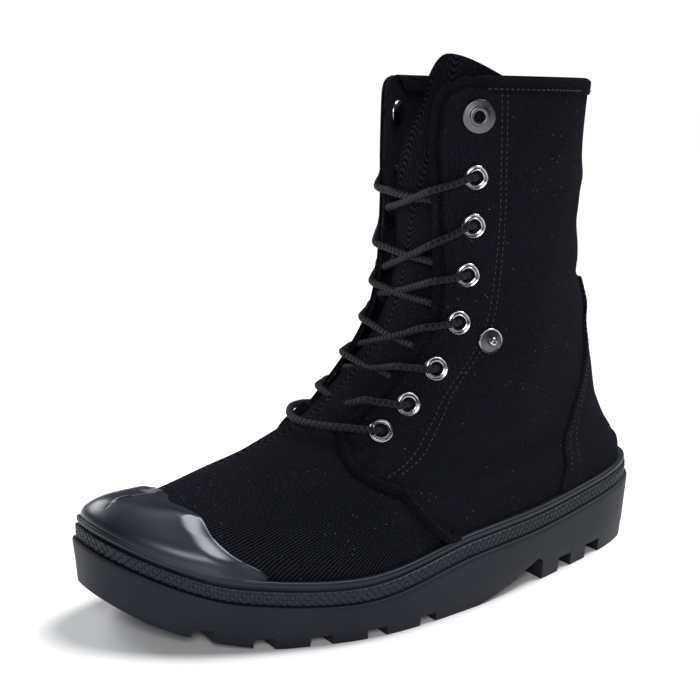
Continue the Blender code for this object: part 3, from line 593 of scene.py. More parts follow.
def buildOutsole():
    spec = outsoleSpec
    count = spec["columns"]
    turns = np.arange(count) / count
    ledge = spec["ledge"]
    profile = [(-spec["taper"], "tread", 0.0), (-spec["taper"] * 0.5, "blend", 0.5),
               (0.0, "top", -2.2 * ledge), (0.0, "top", -ledge), (-0.3 * ledge, "top", -0.3 * ledge),
               (-ledge, "top", 0.0)]
    rings = []
    for grow, kind, height in profile:
        ring = ringPoints(soleRow, turns, grow)
        if kind == "tread":
            ring[:, 2] = treadHeight(ring[:, 0])
        elif kind == "blend":
            ring[:, 2] = (treadHeight(ring[:, 0]) + wallTop(ring[:, 0])) * height
        else:
            ring[:, 2] = wallTop(ring[:, 0]) + height
        rings.append(ring)
    points = np.concatenate(rings)
    faces = []
    for i in range(0, (len(rings) - 1) * count, count):
        for j in range(count):
            k = (j + 1) % count
            faces.append((i + j, i + k, i + count + k, i + count + j))
    for base in (0, (len(rings) - 1) * count):
        faces.append((base, base + 1, base + count - 1))
        faces.append((base + count // 2 - 1, base + count // 2, base + count // 2 + 1))
        for j in range(1, count // 2 - 1):
            faces.append((base + j, base + j + 1, base + count - j - 1, base + count - j))
    sole = newPiece("outsoleMoulded", points, faces, outsoleRubber)
    length = last["soleLength"]
    wide = last["ballWidth"]
    boxes = []
    below = spec["below"]
    for part in ("fore", "heel"):
        for start, width in spec[part + "Notches"]:
            low = -half + start * length
            high = low + width * length
            top = float(treadHeight((low + high) / 2)) + spec[part + "Depth"]
            boxes.append(((low, -wide, below), (high, wide, top)))
    applyCut(sole, *boxCutter(boxes))
    breast = -half + spec["archStart"] * length
    fore = -half + spec["archEnd"] * length
    rise = spec["archRise"]
    corner = breast + spec["archCorner"]
    outline = [(breast, below), (breast, rise * 0.8), (corner, rise)]
    for k in range(1, 13):
        share = k / 12
        outline.append((corner + (fore - corner) * share, rise * (1 - share)**spec["archPower"]))
    outline.append((fore, below))
    number = len(outline)
    archPoints = [(x, side * wide, z) for side in (-1, 1) for x, z in outline]
    archFaces = [tuple(range(number)), tuple(range(number, 2 * number))[::-1]]
    archFaces += [(j, (j + 1) % number, (j + 1) % number + number, j + number) for j in range(number)]
    applyCut(sole, archPoints, archFaces)
    grooves = []
    for start, end, follow in spec["centreGrooves"]:
        middle = float(ringPoints(soleRow, 0.0)[1]) * follow
        grooves.append(((-half + start * length, middle - spec["groove"] / 2, below),
                        (-half + end * length, middle + spec["groove"] / 2, spec["grooveDepth"])))
    applyCut(sole, *boxCutter(grooves))
    bevel = sole.modifiers.new("edge", "BEVEL")
    bevel.width = spec["edge"]
    bevel.segments = 2
    bevel.limit_method = "ANGLE"
    bevel.angle_limit = math.radians(50)
    applyModifier(sole, bevel)
    sole.data.shade_smooth()
    sole.data.set_sharp_from_angle(angle=math.radians(32))
    return finishPiece(sole, "outsole_rubber", "outsole")


foxingSpec = {
    "columns": 1900,
    "diamondPitch": 0.0034,
    "diamondRows": 3,
    "diamondDepth": 0.00055,
    "bandSetback": 0.0014,
    "grooveSetback": 0.0030,
    "lipSetback": 0.0020,
}


def buildFoxing():
    # Band with raised diamonds, a groove and a rolled lip, as one ring round the shoe
    spec = foxingSpec
    turns, perimeter = evenTurns(spec["columns"])
    run = np.arange(spec["columns"]) / spec["columns"]
    pitches = round(perimeter / spec["diamondPitch"])
    band = last["band"]
    lip = last["foxing"]
    section = [(0.0028, 0.0003)]
    bandRows = 16
    for k in range(bandRows + 1):
        section.append((None, 0.0004 + (band - 0.0008) * k / bandRows))
    lipRadius = (lip - band - 0.0006) / 2
    section.append((spec["grooveSetback"], band))
    for k in range(9):
        angle = -0.5 * math.pi + math.pi * k / 8
        section.append((spec["lipSetback"] + lipRadius * 0.6 * (1 - math.cos(angle)),
                        band + 0.0006 + lipRadius * (1 + math.sin(angle))))
    section.append((spec["lipSetback"] + 0.0016, lip))
    rings = []
    for setback, height in section:
        if setback is None:
            share = (height - 0.0004) / (band - 0.0008)
            across = share * spec["diamondRows"]
            one = run * pitches + across / 2
            two = run * pitches - across / 2
            groove = np.minimum(np.abs(one - np.round(one)), np.abs(two - np.round(two)))
            raised = easeStep(groove / 0.16)
            fade = min(1.0, min(share, 1 - share) / 0.05)
            grow = -spec["bandSetback"] - spec["diamondDepth"] * (1 - raised * fade)
        else:
            grow = np.full(len(turns), -setback)
        ring = ringGrown(turns, grow)
        ring[:, 2] = wallTop(ring[:, 0]) + height
        rings.append(ring)
    for height in (lip - 0.0002, lip / 2, 0.0003):
        inner = onUpper(lipLevel(turns, height), turns, 0.0003)
        inner[:, 2] = wallTop(inner[:, 0]) + height
        rings.append(inner)
    count = spec["columns"]
    rows = len(rings)
    i = np.arange(rows)[:, None]
    j = np.arange(count)[None, :]
    k = (j + 1) % count
    up = (i + 1) % rows
    faces = np.stack([i * count + j, i * count + k, up * count + k, up * count + j], -1).reshape(-1, 4)
    piece = newPiece("foxingBand", np.concatenate(rings), faces, foxingRubber, sharp=60)
    return finishPiece(piece, "foxing_rubber", "foxing")


def ringGrown(turns, grow):
    # Sole outline moved in or out by a distance along its own normal
    points = ringPoints(soleRow, turns)
    ahead = ringPoints(soleRow, turns + 0.0015)
    behind = ringPoints(soleRow, turns - 0.0015)
    along = ahead - behind
    normal = np.stack([along[:, 1], -along[:, 0]], -1)
    normal /= np.linalg.norm(normal, axis=1, keepdims=True)
    points[:, :2] += normal * np.asarray(grow)[:, None]
    return points


buildOutsole()
buildFoxing()
print("sole built")

# Upper

quarterSpec = {"rows": 150, "columns": 240, "edgeRound": 0.0005}


def rollTurn(level):
    return smoothTable(rollPath[::-1], level)[..., 0]


def softCreases(level, turn):
    # Soft troughs and ridges of the worn-in shaft, in metres
    around = np.mod(turn + 0.5, 1.0) - 0.5
    lift = np.zeros_like(level)
    folds = ((7.3, 0.40, 0.10, 0.50, -0.0014, 0.10), (6.5, 0.44, 0.09, 0.45, 0.0010, 0.0),
             (8.6, 0.33, 0.11, 0.50, -0.0012, -0.25), (10.1, 0.27, 0.07, 0.45, -0.0016, 0.55),
             (9.4, 0.38, 0.10, 0.50, 0.0010, 0.20), (9.0, 0.29, 0.05, 0.40, 0.0008, 0.45),
             (5.6, 0.27, 0.06, 0.40, -0.0008, 0.30), (5.0, 0.30, 0.07, 0.35, 0.0007, 0.20),
             (6.9, -0.36, 0.12, 0.50, -0.0014, 0.10), (8.2, -0.30, 0.12, 0.50, -0.0011, 0.20),
             (9.8, -0.33, 0.10, 0.50, 0.0011, -0.15), (5.4, -0.28, 0.07, 0.40, -0.0008, 0.25))
    for middle, where, spread, tall, depth, slant in folds:
        side = (around - where) / spread
        up = (level - middle - slant * side) / tall
        lift += depth * np.exp(-side**2 - up**2 * 3)
    # Light, uneven slackness of unlined cloth
    wave = np.sin(around * 61 + level * 1.9) * np.sin(level * 2.7 - around * 23)
    wave = wave + 0.6 * np.sin(around * 97 - level * 3.3)
    return lift + 0.00016 * wave


def buildQuarters():
    # Shaft and both quarters in one cloth wall, open down the throat
    spec = quarterSpec
    lower = np.linspace(0.0, throatLevel, 66)
    upper = throatLevel + (topLevel - throatLevel) * np.linspace(0, 1, spec["rows"] - 65)[1:]
    levels = np.concatenate([lower, upper])
    edges = np.where(levels < throatLevel, rollTurn(np.maximum(levels, 0.8)), flapTurn(levels))
    blend = easeStep((levels - throatLevel + 0.05) / 0.3)
    flapEdges = rollTurn(throatLevel) * (1 - blend) + flapTurn(np.maximum(levels, throatLevel)) * blend
    edges = np.where(levels >= throatLevel - 0.05, flapEdges, edges)
    share = np.linspace(0, 1, spec["columns"])
    share = share - 0.02 * np.sin(2 * np.pi * share)
    turn = edges[:, None] + (1 - 2 * edges[:, None]) * share[None, :]
    level = np.repeat(levels[:, None], spec["columns"], axis=1)
    lift = softCreases(level, turn) * easeStep((level - 1.2) / 1.5)
    border = np.minimum(np.arange(spec["columns"]), np.arange(spec["columns"])[::-1])[None, :]
    tuck = np.where(border == 0, spec["edgeRound"], 0.0)
    return level, turn, lift, tuck


level, turn, lift, tuck = buildQuarters()
quarters = clothShell("quartersAndShaft", level, turn, lift - tuck, lift - last["wall"] + tuck, shaftCanvas)
finishPiece(quarters, "canvas", "upper")


# Rear edge of the toe cap: ring level and half turn
capEdge = np.array(((0.80, 0.151), (1.20, 0.141), (1.45, 0.130), (1.96, 0.108), (2.60, 0.087),
                    (3.01, 0.064), (3.24, 0.012)))


def buildVampTongue():
    # Vamp from the sole over the toes, going on under the laces as the tongue
    rows = 190
    columns = 150
    topEnd = topLevel + 0.40
    levels = np.concatenate([np.linspace(0.0, 5.2, 100), np.linspace(5.2, topEnd, rows - 99)[1:]])
    halfTable = ((0.0, 0.262), (1.05, 0.260), (2.03, 0.241), (3.10, 0.215), (3.50, 0.188),
                 (4.05, 0.149), (4.86, 0.106),
                 (5.2, 0.100), (6.0, 0.118), (7.0, 0.134), (8.0, 0.138), (9.0, 0.124),
                 (10.0, 0.100), (11.0, 0.082), (11.4, 0.074))
    leanTable = ((0.0, 0.0), (6.5, 0.002), (8.0, 0.006), (9.0, 0.028), (10.0, 0.082),
                 (11.0, 0.124), (11.4, 0.130))
    halfTurn = smoothTable(halfTable, levels)[:, 0]
    lean = smoothTable(leanTable, levels)[:, 0]
    share = np.linspace(-1, 1, columns)
    corner = easeStep((levels - (topLevel - 0.9)) / 1.3)
    crest = share + 0.35
    drop = np.where(crest > 0, 0.42 * (np.abs(crest) / 1.35)**1.8, 0.52 * (np.abs(crest) / 0.65)**2.4)
    turn = lean[:, None] + halfTurn[:, None] * share[None, :]
    level = np.repeat(levels[:, None], columns, axis=1) - corner[:, None] * drop[None, :]
    sinkTable = ((0.0, 0.0), (5.0, 0.0), (5.6, -0.0012), (6.5, -0.0030), (7.5, -0.0050),
                 (9.0, -0.0062), (11.4, -0.0066))
    sink = smoothTable(sinkTable, levels)[:, 0]
    # the vamp dips under the quarter beside the roll
    edge = np.where(levels < 5.3, rollTurn(np.clip(levels, 0.8, throatLevel)), 0.30)
    under = easeStep((np.abs(turn) - edge[:, None] + 0.016) / 0.016) * (levels < 5.35)[:, None]
    offset = sink[:, None] - 0.0022 * under
    # and it runs in under the toe cap
    capHalf = smoothTable(capEdge, np.clip(level, 0.8, 3.24))[..., 0]
    underCap = easeStep((capHalf - np.abs(turn) - 0.006) / 0.012) * easeStep((3.10 - level) / 0.30)
    offset = offset - 0.0022 * underCap
    # a tongue is flat between the flaps
    flat = easeStep((levels - 5.6) / 2.2)[:, None]
    offset = offset - flat * 0.0042 * (1 - share[None, :]**2)
    thick = 0.0017
    creases = -0.0005 * np.exp(-((level - 3.9) / 0.20)**2 - (turn / 0.14)**2)
    creases += 0.0004 * np.exp(-((level - 3.5) / 0.18)**2 - ((turn - 0.02) / 0.12)**2)
    return level, turn, offset + creases, thick


level, turn, offset, thick = buildVampTongue()
vamp = clothShell("vampAndTongue", level, turn, offset, offset - thick, vampCanvas)
finishPiece(vamp, "canvas", "upper", "tongue")
print("cloth built")

# Overlays



def buildToeCap():
    rows = 110
    columns = 300
    share = np.sin(np.linspace(0, math.pi / 2, rows))
    levels = 0.78 + (3.235 - 0.78) * share
    halfTurn = smoothTable(capEdge, np.clip(levels, 0.8, 3.24))[:, 0]
    across = np.linspace(-1, 1, columns)
    across = across * (1 - 0.08 * (1 - across**2))
    turn = halfTurn[:, None] * across[None, :]
    level = np.repeat(levels[:, None], columns, axis=1)
    low = lipLevel(turn[0], last["foxing"] - 0.0006)
    level = level + (low - levels[0])[None, :] * (1 - easeStep((level - levels[0]) / 0.6))
    crownTable = ((0.8, 0.016), (1.9, 0.016), (2.2, 0.013), (2.7, 0.000), (3.24, -0.010))
    crownTurn = smoothTable(crownTable, level)[..., 0]
    fade = easeStep((level - 1.75) / 0.9)
    crown = (1 - easeStep((turn - crownTurn) / 0.0024 + 0.5)) * fade * 0.0004
    groove = 0.0009 * fade * np.exp(-((turn - crownTurn - 0.0010) / 0.0011)**2)
    # the moulded cap is one even bulge, so each column is drawn as a smooth curve from lip to rear edge
    base = upperPoints(level, turn)
    place = (levels - levels[0]) / (levels[-1] - levels[0]) * 2 - 1
    curves = np.polynomial.legendre.legvander(place, 5)
    weight = np.ones(rows)
    weight[:3] = 12
    weight[-3:] = 12
    solve = np.linalg.pinv(curves * weight[:, None]) * weight[None, :]
    smooth = np.einsum("rk,kn,ncd->rcd", curves, solve, base)
    edgeLine = np.concatenate([base[:, 0], base[-1], base[:, -1]])
    gaps = [np.sqrt(((row[:, None, :] - edgeLine[None, :, :])**2).sum(-1)) for row in base]
    fromEdge = np.array([gap.min(1) for gap in gaps])
    body = easeStep(fromEdge / 0.009)
    along = np.gradient(smooth, axis=0)
    aside = np.gradient(smooth, axis=1)
    normal = np.cross(along, aside)
    normal /= np.linalg.norm(normal, axis=-1, keepdims=True) + 1e-12
    facing = np.sign((normal * upperNormals(level, turn)).sum(-1, keepdims=True))
    normal = normal * np.where(facing == 0, 1, facing)
    blend = body[..., None]
    normal = normal * blend + upperNormals(level, turn) * (1 - blend)
    normal /= np.linalg.norm(normal, axis=-1, keepdims=True)
    rimTurn = np.clip(1 - fromEdge / 0.0011, 0, 1)
    drop = 0.0011 * (1 - np.sqrt(1 - rimTurn**2))
    thick = 0.0014 + 0.0021 * body
    least = ((base - smooth) * normal).sum(-1) + 0.0009
    thick = (thick + least + np.sqrt((thick - least)**2 + 0.0005**2)) / 2 - drop + crown - groove
    outer = smooth + normal * thick[..., None]
    inner = onUpper(level, turn, 0.0003 - 0.0016 * body)
    cap = clothShell("toeCapRubber", level, turn, outer, inner, capRubber)
    return finishPiece(cap, "cap_rubber", "toe_cap")


counterEdge = np.array(((0.80, 0.174), (1.24, 0.168), (2.45, 0.159), (3.61, 0.149), (4.33, 0.139),
                        (5.07, 0.116), (6.00, 0.082), (7.06, 0.066)))


def buildHeelCounter():
    rows = 90
    columns = 120
    levels = np.linspace(0.78, 7.06, rows)
    halfTurn = smoothTable(counterEdge, np.clip(levels, 0.8, 7.06))[:, 0]
    across = np.linspace(-1, 1, columns)
    turn = 0.5 + halfTurn[:, None] * across[None, :]
    level = np.repeat(levels[:, None], columns, axis=1)
    low = lipLevel(turn[0], last["foxing"] - 0.0004)
    level = level + (low - levels[0])[None, :] * (1 - easeStep((level - levels[0]) / 0.5))
    base = softCreases(level, turn) * easeStep((level - 1.2) / 1.5)
    fromSide = np.minimum(1 + across, 1 - across)[None, :] * halfTurn[:, None] * 0.24
    border = easeStep((0.0048 - fromSide) / 0.0006) * 0.0006
    edge = np.minimum(np.arange(columns), np.arange(columns)[::-1])[None, :]
    tuck = np.where(edge == 0, 0.0005, 0.0)
    outer = base + 0.0013 + border - tuck
    counter = clothShell("heelCounterCloth", level, turn, outer, base + 0.0002 + 0 * outer, bindingCanvas)
    return finishPiece(counter, "canvas", "heel_counter")


def surfaceStrip(name, path, width, heights, material, slotName, nodes, steps=120):
    # Raised strip along a path of level and turn; heights gives share of width and height
    path = np.asarray(path, float)
    places = np.linspace(0, 1, len(path))
    fine = smoothTable(np.column_stack((places, path)), np.linspace(0, 1, steps))
    points = upperPoints(fine[:, 0], fine[:, 1])
    along = np.gradient(points, axis=0)
    along /= np.linalg.norm(along, axis=1, keepdims=True)
    normal = upperNormals(fine[:, 0], fine[:, 1])
    side = np.cross(normal, along)
    step = 0.01
    level, turn = fine[:, 0], fine[:, 1]
    up = (upperPoints(level + step, turn) - upperPoints(level - step, turn)) / (2 * step)
    around = (upperPoints(level, turn + 0.001) - upperPoints(level, turn - 0.001)) / 0.002
    loops = []
    for share, height in heights:
        move = side * width * share
        change = np.array([np.linalg.lstsq(np.stack([u, a], 1), m, rcond=None)[0]
                           for u, a, m in zip(up, around, move)])
        loops.append(onUpper(fine[:, 0] + change[:, 0], fine[:, 1] + change[:, 1], height))
    loops = np.array(loops).transpose(1, 0, 2)
    run = distanceAlong(points, 0)
    strip = tubePiece(name, loops, material, run)
    return finishPiece(strip, slotName, *nodes)


def rollProfile(height, sides=14):
    # Half round with a foot, as share of width and height
    profile = [(-0.5, 0.0002)]
    for k in range(1, sides):
        angle = math.pi * k / sides
        profile.append((-0.5 * math.cos(angle), 0.0002 + height * math.sin(angle)**0.8))
    profile.append((0.5, 0.0002))
    return profile


bindingWidth = 0.0056
rollSpec = {"width": 0.0056, "height": 0.0026}


def buildCollarBinding():
    # Folded tape over the collar's edge, from one throat corner round the back to the other
    columns = 320
    start = 0.150
    turn = np.linspace(start, 1 - start, columns)
    top = np.full(columns, topLevel - 0.02)
    fromEnd = np.minimum(turn - start, 1 - start - turn)
    drop = 0.0010 + bindingWidth * easeStep(fromEnd / 0.030)
    low = top.copy()
    for _ in range(6):
        height = upperPoints(top, turn)[:, 2] - upperPoints(low, turn)[:, 2]
        low -= (drop - height) / 0.030
    section = []
    steps = ((0.0, 0.0002), (0.02, 0.0009), (0.10, 0.0012), (0.5, 0.0013), (0.9, 0.0013), (1.0, 0.0009))
    for share, offset in steps:
        section.append(onUpper(low + (top - low) * share, turn, offset))
    crown = onUpper(top, turn, -0.0010)
    crown[:, 2] += 0.0011
    section.append(crown)
    for share, offset in ((1.0, -0.0029), (0.5, -0.0031), (0.0, -0.0029), (0.0, -0.0021)):
        section.append(onUpper(low + (top - low) * share, turn, offset))
    inner = onUpper(top, turn, -0.0010)
    inner[:, 2] += 0.0003
    section.append(onUpper(top - 0.02, turn, -0.0021))
    section.append(inner)
    section.append(onUpper(top - 0.02, turn, 0.0001))
    loops = np.array(section).transpose(1, 0, 2)
    run = distanceAlong(loops[:, 2], 0)
    binding = tubePiece("collarBindingTape", loops, bindingCanvas, run)
    return finishPiece(binding, "canvas", "collar_binding")


def buildFlapBinding(side, word):
    # Flat tape along the flap's free edge, turning the corner into the collar
    levels = (5.62, 5.95, 6.35, 6.90, 7.50, 8.20, 9.00, 9.70, 10.20, 10.45, 10.62, 10.78, 10.90, 10.97)
    path = [(level, side * float(flapTurn(level))) for level in levels]
    path += [(topLevel - 0.01, side * turn) for turn in (0.142, 0.156, 0.170)]
    heights = ((0.0, 0.0002), (0.02, 0.0007), (0.10, 0.0009), (0.55, 0.0010), (0.90, 0.0009),
               (0.98, 0.0006), (1.0, 0.0002))
    profile = [(-side * share, height) for share, height in heights]
    surfaceStrip("flapBinding" + word.capitalize(), path, bindingWidth, profile, bindingCanvas, "canvas", (),
                 steps=160)


buildToeCap()
buildHeelCounter()
for side, word in ((1, "outer"), (-1, "inner")):
    path = rollPath * np.array((1.0, side))
    surfaceStrip("quarterRoll" + word.capitalize(), path, rollSpec["width"],
                 rollProfile(rollSpec["height"]), rollCanvas, "canvas", ("quarter_roll_" + word,))
    buildFlapBinding(side, word)
buildCollarBinding()
print("overlays built")

# Metal fittings

eyeletSpec = {"outer": 0.0056, "inner": 0.0031, "height": 0.0013}
socketSpot = (10.48, 0.154)  # level and turn of the flap's snap
studSpot = (6.80, 0.204)  # where it closes when the collar is folded down


def fittingPlace(level, turn):
    # Centre, axis and two spokes for a round fitting on the upper
    centre = upperPoints(level, turn)
    normal = upperNormals(level, turn)
    first = np.array(Vector(normal).orthogonal().normalized())
    second = np.cross(normal, first)
    return centre, normal, first, second


def turnedRing(name, profile, level, turn, material, slotName, nodes, sides=48, lift=0.0):
    centre, normal, first, second = fittingPlace(level, turn)
    angles = 2 * np.pi * np.arange(sides) / sides
    spokes = np.cos(angles)[:, None] * first + np.sin(angles)[:, None] * second
    profile = np.asarray(profile)
    points = centre + spokes[:, None, :] * profile[None, :, 0, None]
    points = points + normal * (profile[None, :, 1, None] + lift)
    count = len(profile)
    i = np.arange(sides)[:, None]
    j = np.arange(count)[None, :]
    faces = np.stack([i * count + j, i * count + (j + 1) % count, (i + 1) % sides * count + (j + 1) % count,
                      (i + 1) % sides * count + j], -1).reshape(-1, 4)
    piece = newPiece(name, points.reshape(-1, 3), faces, material, sharp=50)
    return finishPiece(piece, slotName, *nodes)


def eyeletProfile():
    # Rolled barrel inside, a groove, and a domed flange outside
    inner = eyeletSpec["inner"]
    outer = eyeletSpec["outer"]
    height = eyeletSpec["height"]
    return ((inner, -0.0024), (inner - 0.0001, 0.0004), (inner + 0.0001, height * 0.9),
            (inner + 0.0005, height), (inner + 0.0008, height * 0.80), (inner + 0.0010, height * 0.30),
            (outer - 0.0012, height * 0.22),
            (outer - 0.0010, height * 0.62), (outer - 0.0006, height * 0.72), (outer - 0.0002, height * 0.50),
            (outer, height * 0.20), (outer - 0.0001, 0.0), (inner + 0.0005, 0.0),
            (inner + 0.0004, -0.0024))


for side, word in ((1, "outer"), (-1, "inner")):
    for number, (level, turn) in enumerate(eyeletSpots, start=1):
        turnedRing("eyeletRing%s%d" % (word.capitalize(), number), eyeletProfile(), level, side * turn,
                   eyeletNickel, "eyelet_metal", ("eyelet_%s_%d" % (word, number),), lift=0.0005)
    socket = ((0.0022, 0.0), (0.0022, 0.0010), (0.0026, 0.0017), (0.0034, 0.0020),
              (0.0042, 0.0017), (0.0044, 0.0011), (0.0048, 0.0009), (0.0066, 0.0011),
              (0.0072, 0.0009), (0.0075, 0.0005), (0.0074, 0.0))
    turnedRing("snapSocket" + word.capitalize(), socket, socketSpot[0], side * socketSpot[1], snapMetal,
               "snap_metal", ("snap_socket_" + word,), lift=0.0006)
    stud = ((0.0002, 0.0), (0.0002, 0.0043), (0.0012, 0.0042), (0.0020, 0.0036), (0.0022, 0.0029),
            (0.0019, 0.0022), (0.0019, 0.0014), (0.0030, 0.0011), (0.0050, 0.0010), (0.0057, 0.0007),
            (0.0059, 0.0003), (0.0058, 0.0))
    turnedRing("snapStud" + word.capitalize(), stud, studSpot[0], side * studSpot[1], snapMetal,
               "snap_metal", ("snap_stud_" + word,), lift=0.0005)
    domed = ((0.0002, 0.0040), (0.0010, 0.0049), (0.0018, 0.0044), (0.0023, 0.0034),
             (0.0021, 0.0026), (0.0002, 0.0026))
    turnedRing("snapBall" + word.capitalize(), domed, studSpot[0], side * studSpot[1], eyeletNickel,
               "snap_metal", (), lift=0.0005)
    ringed = ((0.0050, 0.0008), (0.0052, 0.0014), (0.0057, 0.0015), (0.0061, 0.0011),
              (0.0061, 0.0001), (0.0050, 0.0001))
    turnedRing("studRim" + word.capitalize(), ringed, studSpot[0], side * studSpot[1], eyeletNickel,
               "snap_metal", (), lift=0.0005)
    backing = ((0.0002, 0.0001), (0.0060, 0.0001), (0.0060, -0.0005), (0.0052, -0.0012),
               (0.0030, -0.0015), (0.0002, -0.0016))
    turnedRing("snapBack" + word.capitalize(), backing[::-1], socketSpot[0], side * socketSpot[1],
               eyeletNickel, "snap_metal", (), lift=-last["wall"])
print("fittings built")

# Lace

laceSpec = {"radius": 0.0017, "sides": 14}
# For rows 2 to 7, in collar heights: strand from the outer eyelet at the outer and inner flap edges,
# then strand from under the outer flap at the same two edges
laceRows = (
    (0.400, 0.366, 0.383, 0.394),
    (0.461, 0.438, 0.446, 0.455),
    (0.533, 0.480, 0.499, 0.522),
    (0.621, 0.573, 0.578, 0.594),
    (0.690, 0.627, 0.655, 0.674),
    (0.790, 0.745, 0.770, 0.785),
)


def levelAtHeight(height, side):
    # Ring level and turn of a flap edge at a height; side is 1 for the outer flap
    low, high = throatLevel, float(topLevel)
    for _ in range(24):
        middle = (low + high) / 2
        turn = float(flapTurn(middle))
        if float(upperPoints(middle, side * turn)[2]) < height:
            low = middle
        else:
            high = middle
    return (low + high) / 2, side * float(flapTurn((low + high) / 2))


def laceStrand(row, startSide, heights):
    # From above the start side's eyelet over its flap, across, under the other flap to the eyelet below
    over = laceSpec["radius"] + 0.0003
    under = -last["wall"] - laceSpec["radius"] - 0.0004
    level, turn = eyeletSpots[row]
    lowerLevel, lowerTurn = eyeletSpots[row - 1]
    nearEdge = levelAtHeight(heights[0] * collar, startSide)
    farEdge = levelAtHeight(heights[1] * collar, -startSide)
    points = [onUpper(level, startSide * turn, -0.0030), onUpper(level, startSide * turn, 0.0004),
              onUpper(level, startSide * (turn - 0.010), 0.0026)]
    for share in (0.45, 0.75):
        here = level + (nearEdge[0] - level) * share
        spot = startSide * turn + (nearEdge[1] - startSide * turn) * share
        points.append(onUpper(here, spot, over))
    first = onUpper(nearEdge[0], nearEdge[1], over * 0.9)
    points.append(first)
    final = onUpper(farEdge[0], farEdge[1], under * 0.85)
    bow = np.array((0.0010, 0.0, -0.0006))
    for share in (0.25, 0.5, 0.75):
        points.append(first + (final - first) * share + bow * math.sin(math.pi * share))
    points.append(final)
    for share in (0.4, 0.8):
        here = farEdge[0] + (lowerLevel - farEdge[0]) * share
        spot = farEdge[1] + (-startSide * lowerTurn - farEdge[1]) * share
        points.append(onUpper(here, spot, under))
    points.append(onUpper(lowerLevel, -startSide * lowerTurn, -0.0034))
    return points


def buildLace():
    # One lace: two halves zigzag up from the bar at the lowest eyelets
    level, turn = eyeletSpots[0]
    over = laceSpec["radius"] + 0.0003
    bar = [onUpper(level, turn, -0.0030), onUpper(level, turn, 0.0004), onUpper(level, turn - 0.010, 0.0027)]
    for share in (0.60, 0.42, 0.22, 0.0, -0.22, -0.42, -0.60):
        bar.append(onUpper(level + 0.06, turn * share, over + 0.0028))
    bar += [onUpper(level, -turn + 0.010, 0.0027), onUpper(level, -turn, 0.0004),
            onUpper(level, -turn, -0.0030)]
    halves = []
    for startSide in (1, -1):
        # the half that leaves the bar inside the eyelet on startSide climbs to the other side
        side = -startSide
        route = []
        for row in range(1, len(eyeletSpots)):
            heights = laceRows[row - 1]
            pair = heights[:2] if side > 0 else (heights[3], heights[2])
            route += laceStrand(row, side, pair)[::-1]
            side = -side
        halves.append(route)
    points = halves[0][::-1] + bar + halves[1]
    path, run = smoothPath(points, 1500)
    loops = tubeLoops(path, laceSpec["radius"], laceSpec["sides"])
    lace = tubePiece("laceCordWhole", loops, laceCord, run)
    nodes = ["lace_bar_1"] + ["lace_crossing_%d" % k for k in range(2, 8)]
    return finishPiece(lace, "lace", *nodes)


buildLace()
print("lace built")

# Stitches

def stitchLine(name, paths, offset=0.0001, length=0.0016, gap=0.0011, radius=0.00027):
    # Rows of short thread bumps; each path is a list of level and turn
    allPoints = []
    allFaces = []
    for path in paths:
        fine, run = smoothPath(path, 900)
        points = onUpper(fine[:, 0], fine[:, 1], offset + softCreases(fine[:, 0], fine[:, 1]))
        normals = upperNormals(fine[:, 0], fine[:, 1])
        measure = distanceAlong(points, 0)
        number = int(measure[-1] / (length + gap))
        for k in range(number):
            loops = []
            for share, thick in ((0.0, 0.35), (0.2, 0.95), (0.5, 1.1), (0.8, 0.95), (1.0, 0.35)):
                at = k * (length + gap) + length * share
                centre = np.array([np.interp(at, measure, points[:, axis]) for axis in range(3)])
                normal = np.array([np.interp(at, measure, normals[:, axis]) for axis in range(3)])
                ahead = np.array([np.interp(at + 0.0002, measure, points[:, axis]) for axis in range(3)])
                along = ahead - centre
                if np.linalg.norm(along) < 1e-9:
                    before = [np.interp(at - 0.0002, measure, points[:, axis]) for axis in range(3)]
                    along = centre - np.array(before)
                side = np.cross(normal, along)
                side /= np.linalg.norm(side)
                spokes = [side * math.cos(a) + normal * (math.sin(a) + 0.3 * thick)
                          for a in 2 * np.pi * np.arange(6) / 6]
                loops.append([centre + spoke * radius * thick for spoke in spokes])
            base = len(allPoints)
            for loop in loops:
                allPoints += loop
            rows = len(loops)
            for i in range(rows - 1):
                for j in range(6):
                    n = (j + 1) % 6
                    first = base + i * 6
                    allFaces.append((first + j, first + n, first + 6 + n, first + 6 + j))
            allFaces.append(tuple(base + j for j in range(6))[::-1])
            allFaces.append(tuple(base + (rows - 1) * 6 + j for j in range(6)))
    piece = newPiece(name, allPoints, allFaces, threadBlack)
    return finishPiece(piece, "canvas")


eyestayLine = np.array(((10.78, 0.1960), (10.16, 0.1990), (9.24, 0.2010), (8.02, 0.1990),
                        (7.23, 0.2000), (6.62, 0.1970), (5.77, 0.1850),
                        (4.81, 0.1815), (4.08, 0.1830), (3.62, 0.1790)))
stayPaths = []
for side in (1, -1):
    for shift in (0.0, -0.0085):
        stayPaths.append(eyestayLine * (1, side) + (0, side * shift))
stitchLine("eyestayStitches", stayPaths)
counterPaths = []
for side in (1, -1):
    for shift in (0.006, 0.015):
        counterPaths.append(np.array([(row[0], 0.5 + side * (row[1] - shift)) for row in counterEdge[1:]]))
stitchLine("counterStitches", counterPaths, offset=0.0017)
turns = np.linspace(0.165, 0.835, 40)
stitchLine("bindingStitches", [np.array([(topLevel - 0.165, t) for t in turns])], offset=0.0013)
print("stitches built")

# Inside
insoleNode = bpy.data.objects["insole"]
insoleNode.data.materials.clear()
insoleNode.data.materials.append(liningCloth)

# Floor, light and camera
view = {"azimuth": 144.83, "elevation": 12.36, "distance": 0.5436, "lens": 1197.1 / 700 * 36, "roll": 1.15,
        "target": (0.02825, -sideShift, 0.11507)}
studio = {"fill": 0.04, "ceiling": 3.9, "ceilingSpread": 32,
          "ceilingFrom": (-0.48, 0.02, 1.0), "key": 4.5, "rim": 3.0}


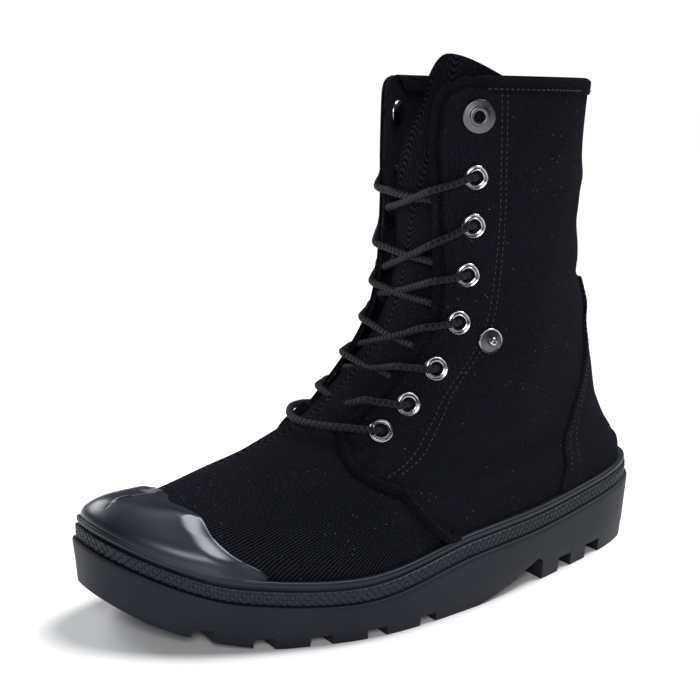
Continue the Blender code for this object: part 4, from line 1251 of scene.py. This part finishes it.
def placeCamera():
    a = math.radians(view["azimuth"])
    e = math.radians(view["elevation"])
    back = Vector((math.sin(a) * math.cos(e), -math.cos(a) * math.cos(e), math.sin(e)))
    right = Vector((math.cos(a), math.sin(a), 0))
    up = back.cross(right)
    tilt = math.radians(view["roll"])
    sideways = right * math.cos(tilt) + up * math.sin(tilt)
    upward = up * math.cos(tilt) - right * math.sin(tilt)
    data = bpy.data.cameras.new("camera")
    data.lens = view["lens"]
    data.sensor_width = 36
    data.clip_start = 0.01
    camera = bpy.data.objects.new("camera", data)
    bpy.context.collection.objects.link(camera)
    turned = Matrix((sideways, upward, back)).transposed().to_4x4()
    turned.translation = Vector(view["target"]) + back * view["distance"]
    camera.matrix_world = turned
    bpy.context.scene.camera = camera


def areaLight(name, place, aim, size, power):
    data = bpy.data.lights.new(name, "AREA")
    data.shape = "RECTANGLE"
    data.size = size[0]
    data.size_y = size[1]
    data.energy = power
    light = bpy.data.objects.new(name, data)
    bpy.context.collection.objects.link(light)
    light.location = place
    light.rotation_euler = (Vector(aim) - Vector(place)).to_track_quat("-Z", "Y").to_euler()


floorMaterial = startMaterial("paleFloor", (0.90, 0.91, 0.92), 0.9)[0]
bpy.ops.mesh.primitive_plane_add(size=30, location=(0, 0, 0))
floor = bpy.context.active_object
floor.name = "paleFloor"
floor.data.materials.append(floorMaterial)

world = bpy.data.worlds.new("studio")
bpy.context.scene.world = world
world.use_nodes = True
background = world.node_tree.nodes["Background"]
background.inputs["Color"].default_value = (1, 1, 1, 1)
seen = world.node_tree.nodes.new("ShaderNodeLightPath")
level = world.node_tree.nodes.new("ShaderNodeMapRange")  # white wall behind the shoe, little fill from it
level.inputs["To Min"].default_value = studio["fill"]
level.inputs["To Max"].default_value = 1.05
world.node_tree.links.new(seen.outputs["Is Camera Ray"], level.inputs["Value"])
world.node_tree.links.new(level.outputs[0], background.inputs["Strength"])
sunData = bpy.data.lights.new("ceilingLight", "SUN")
sunData.energy = studio["ceiling"]
sunData.angle = math.radians(studio["ceilingSpread"])
sun = bpy.data.objects.new("ceilingLight", sunData)
bpy.context.collection.objects.link(sun)
sun.rotation_euler = (Vector((0, 0, 0)) - Vector(studio["ceilingFrom"])).to_track_quat("-Z", "Y").to_euler()
areaLight("keySoftbox", (0.55, 0.75, 0.55), (0.08, 0.02, 0.06), (0.35, 0.35), studio["key"])
areaLight("rimSoftbox", (0.32, -0.60, 0.46), (0.12, 0.0, 0.05), (0.40, 0.30), studio["rim"])
placeCamera()
bpy.context.scene.view_settings.view_transform = "Standard"
print("stage set")
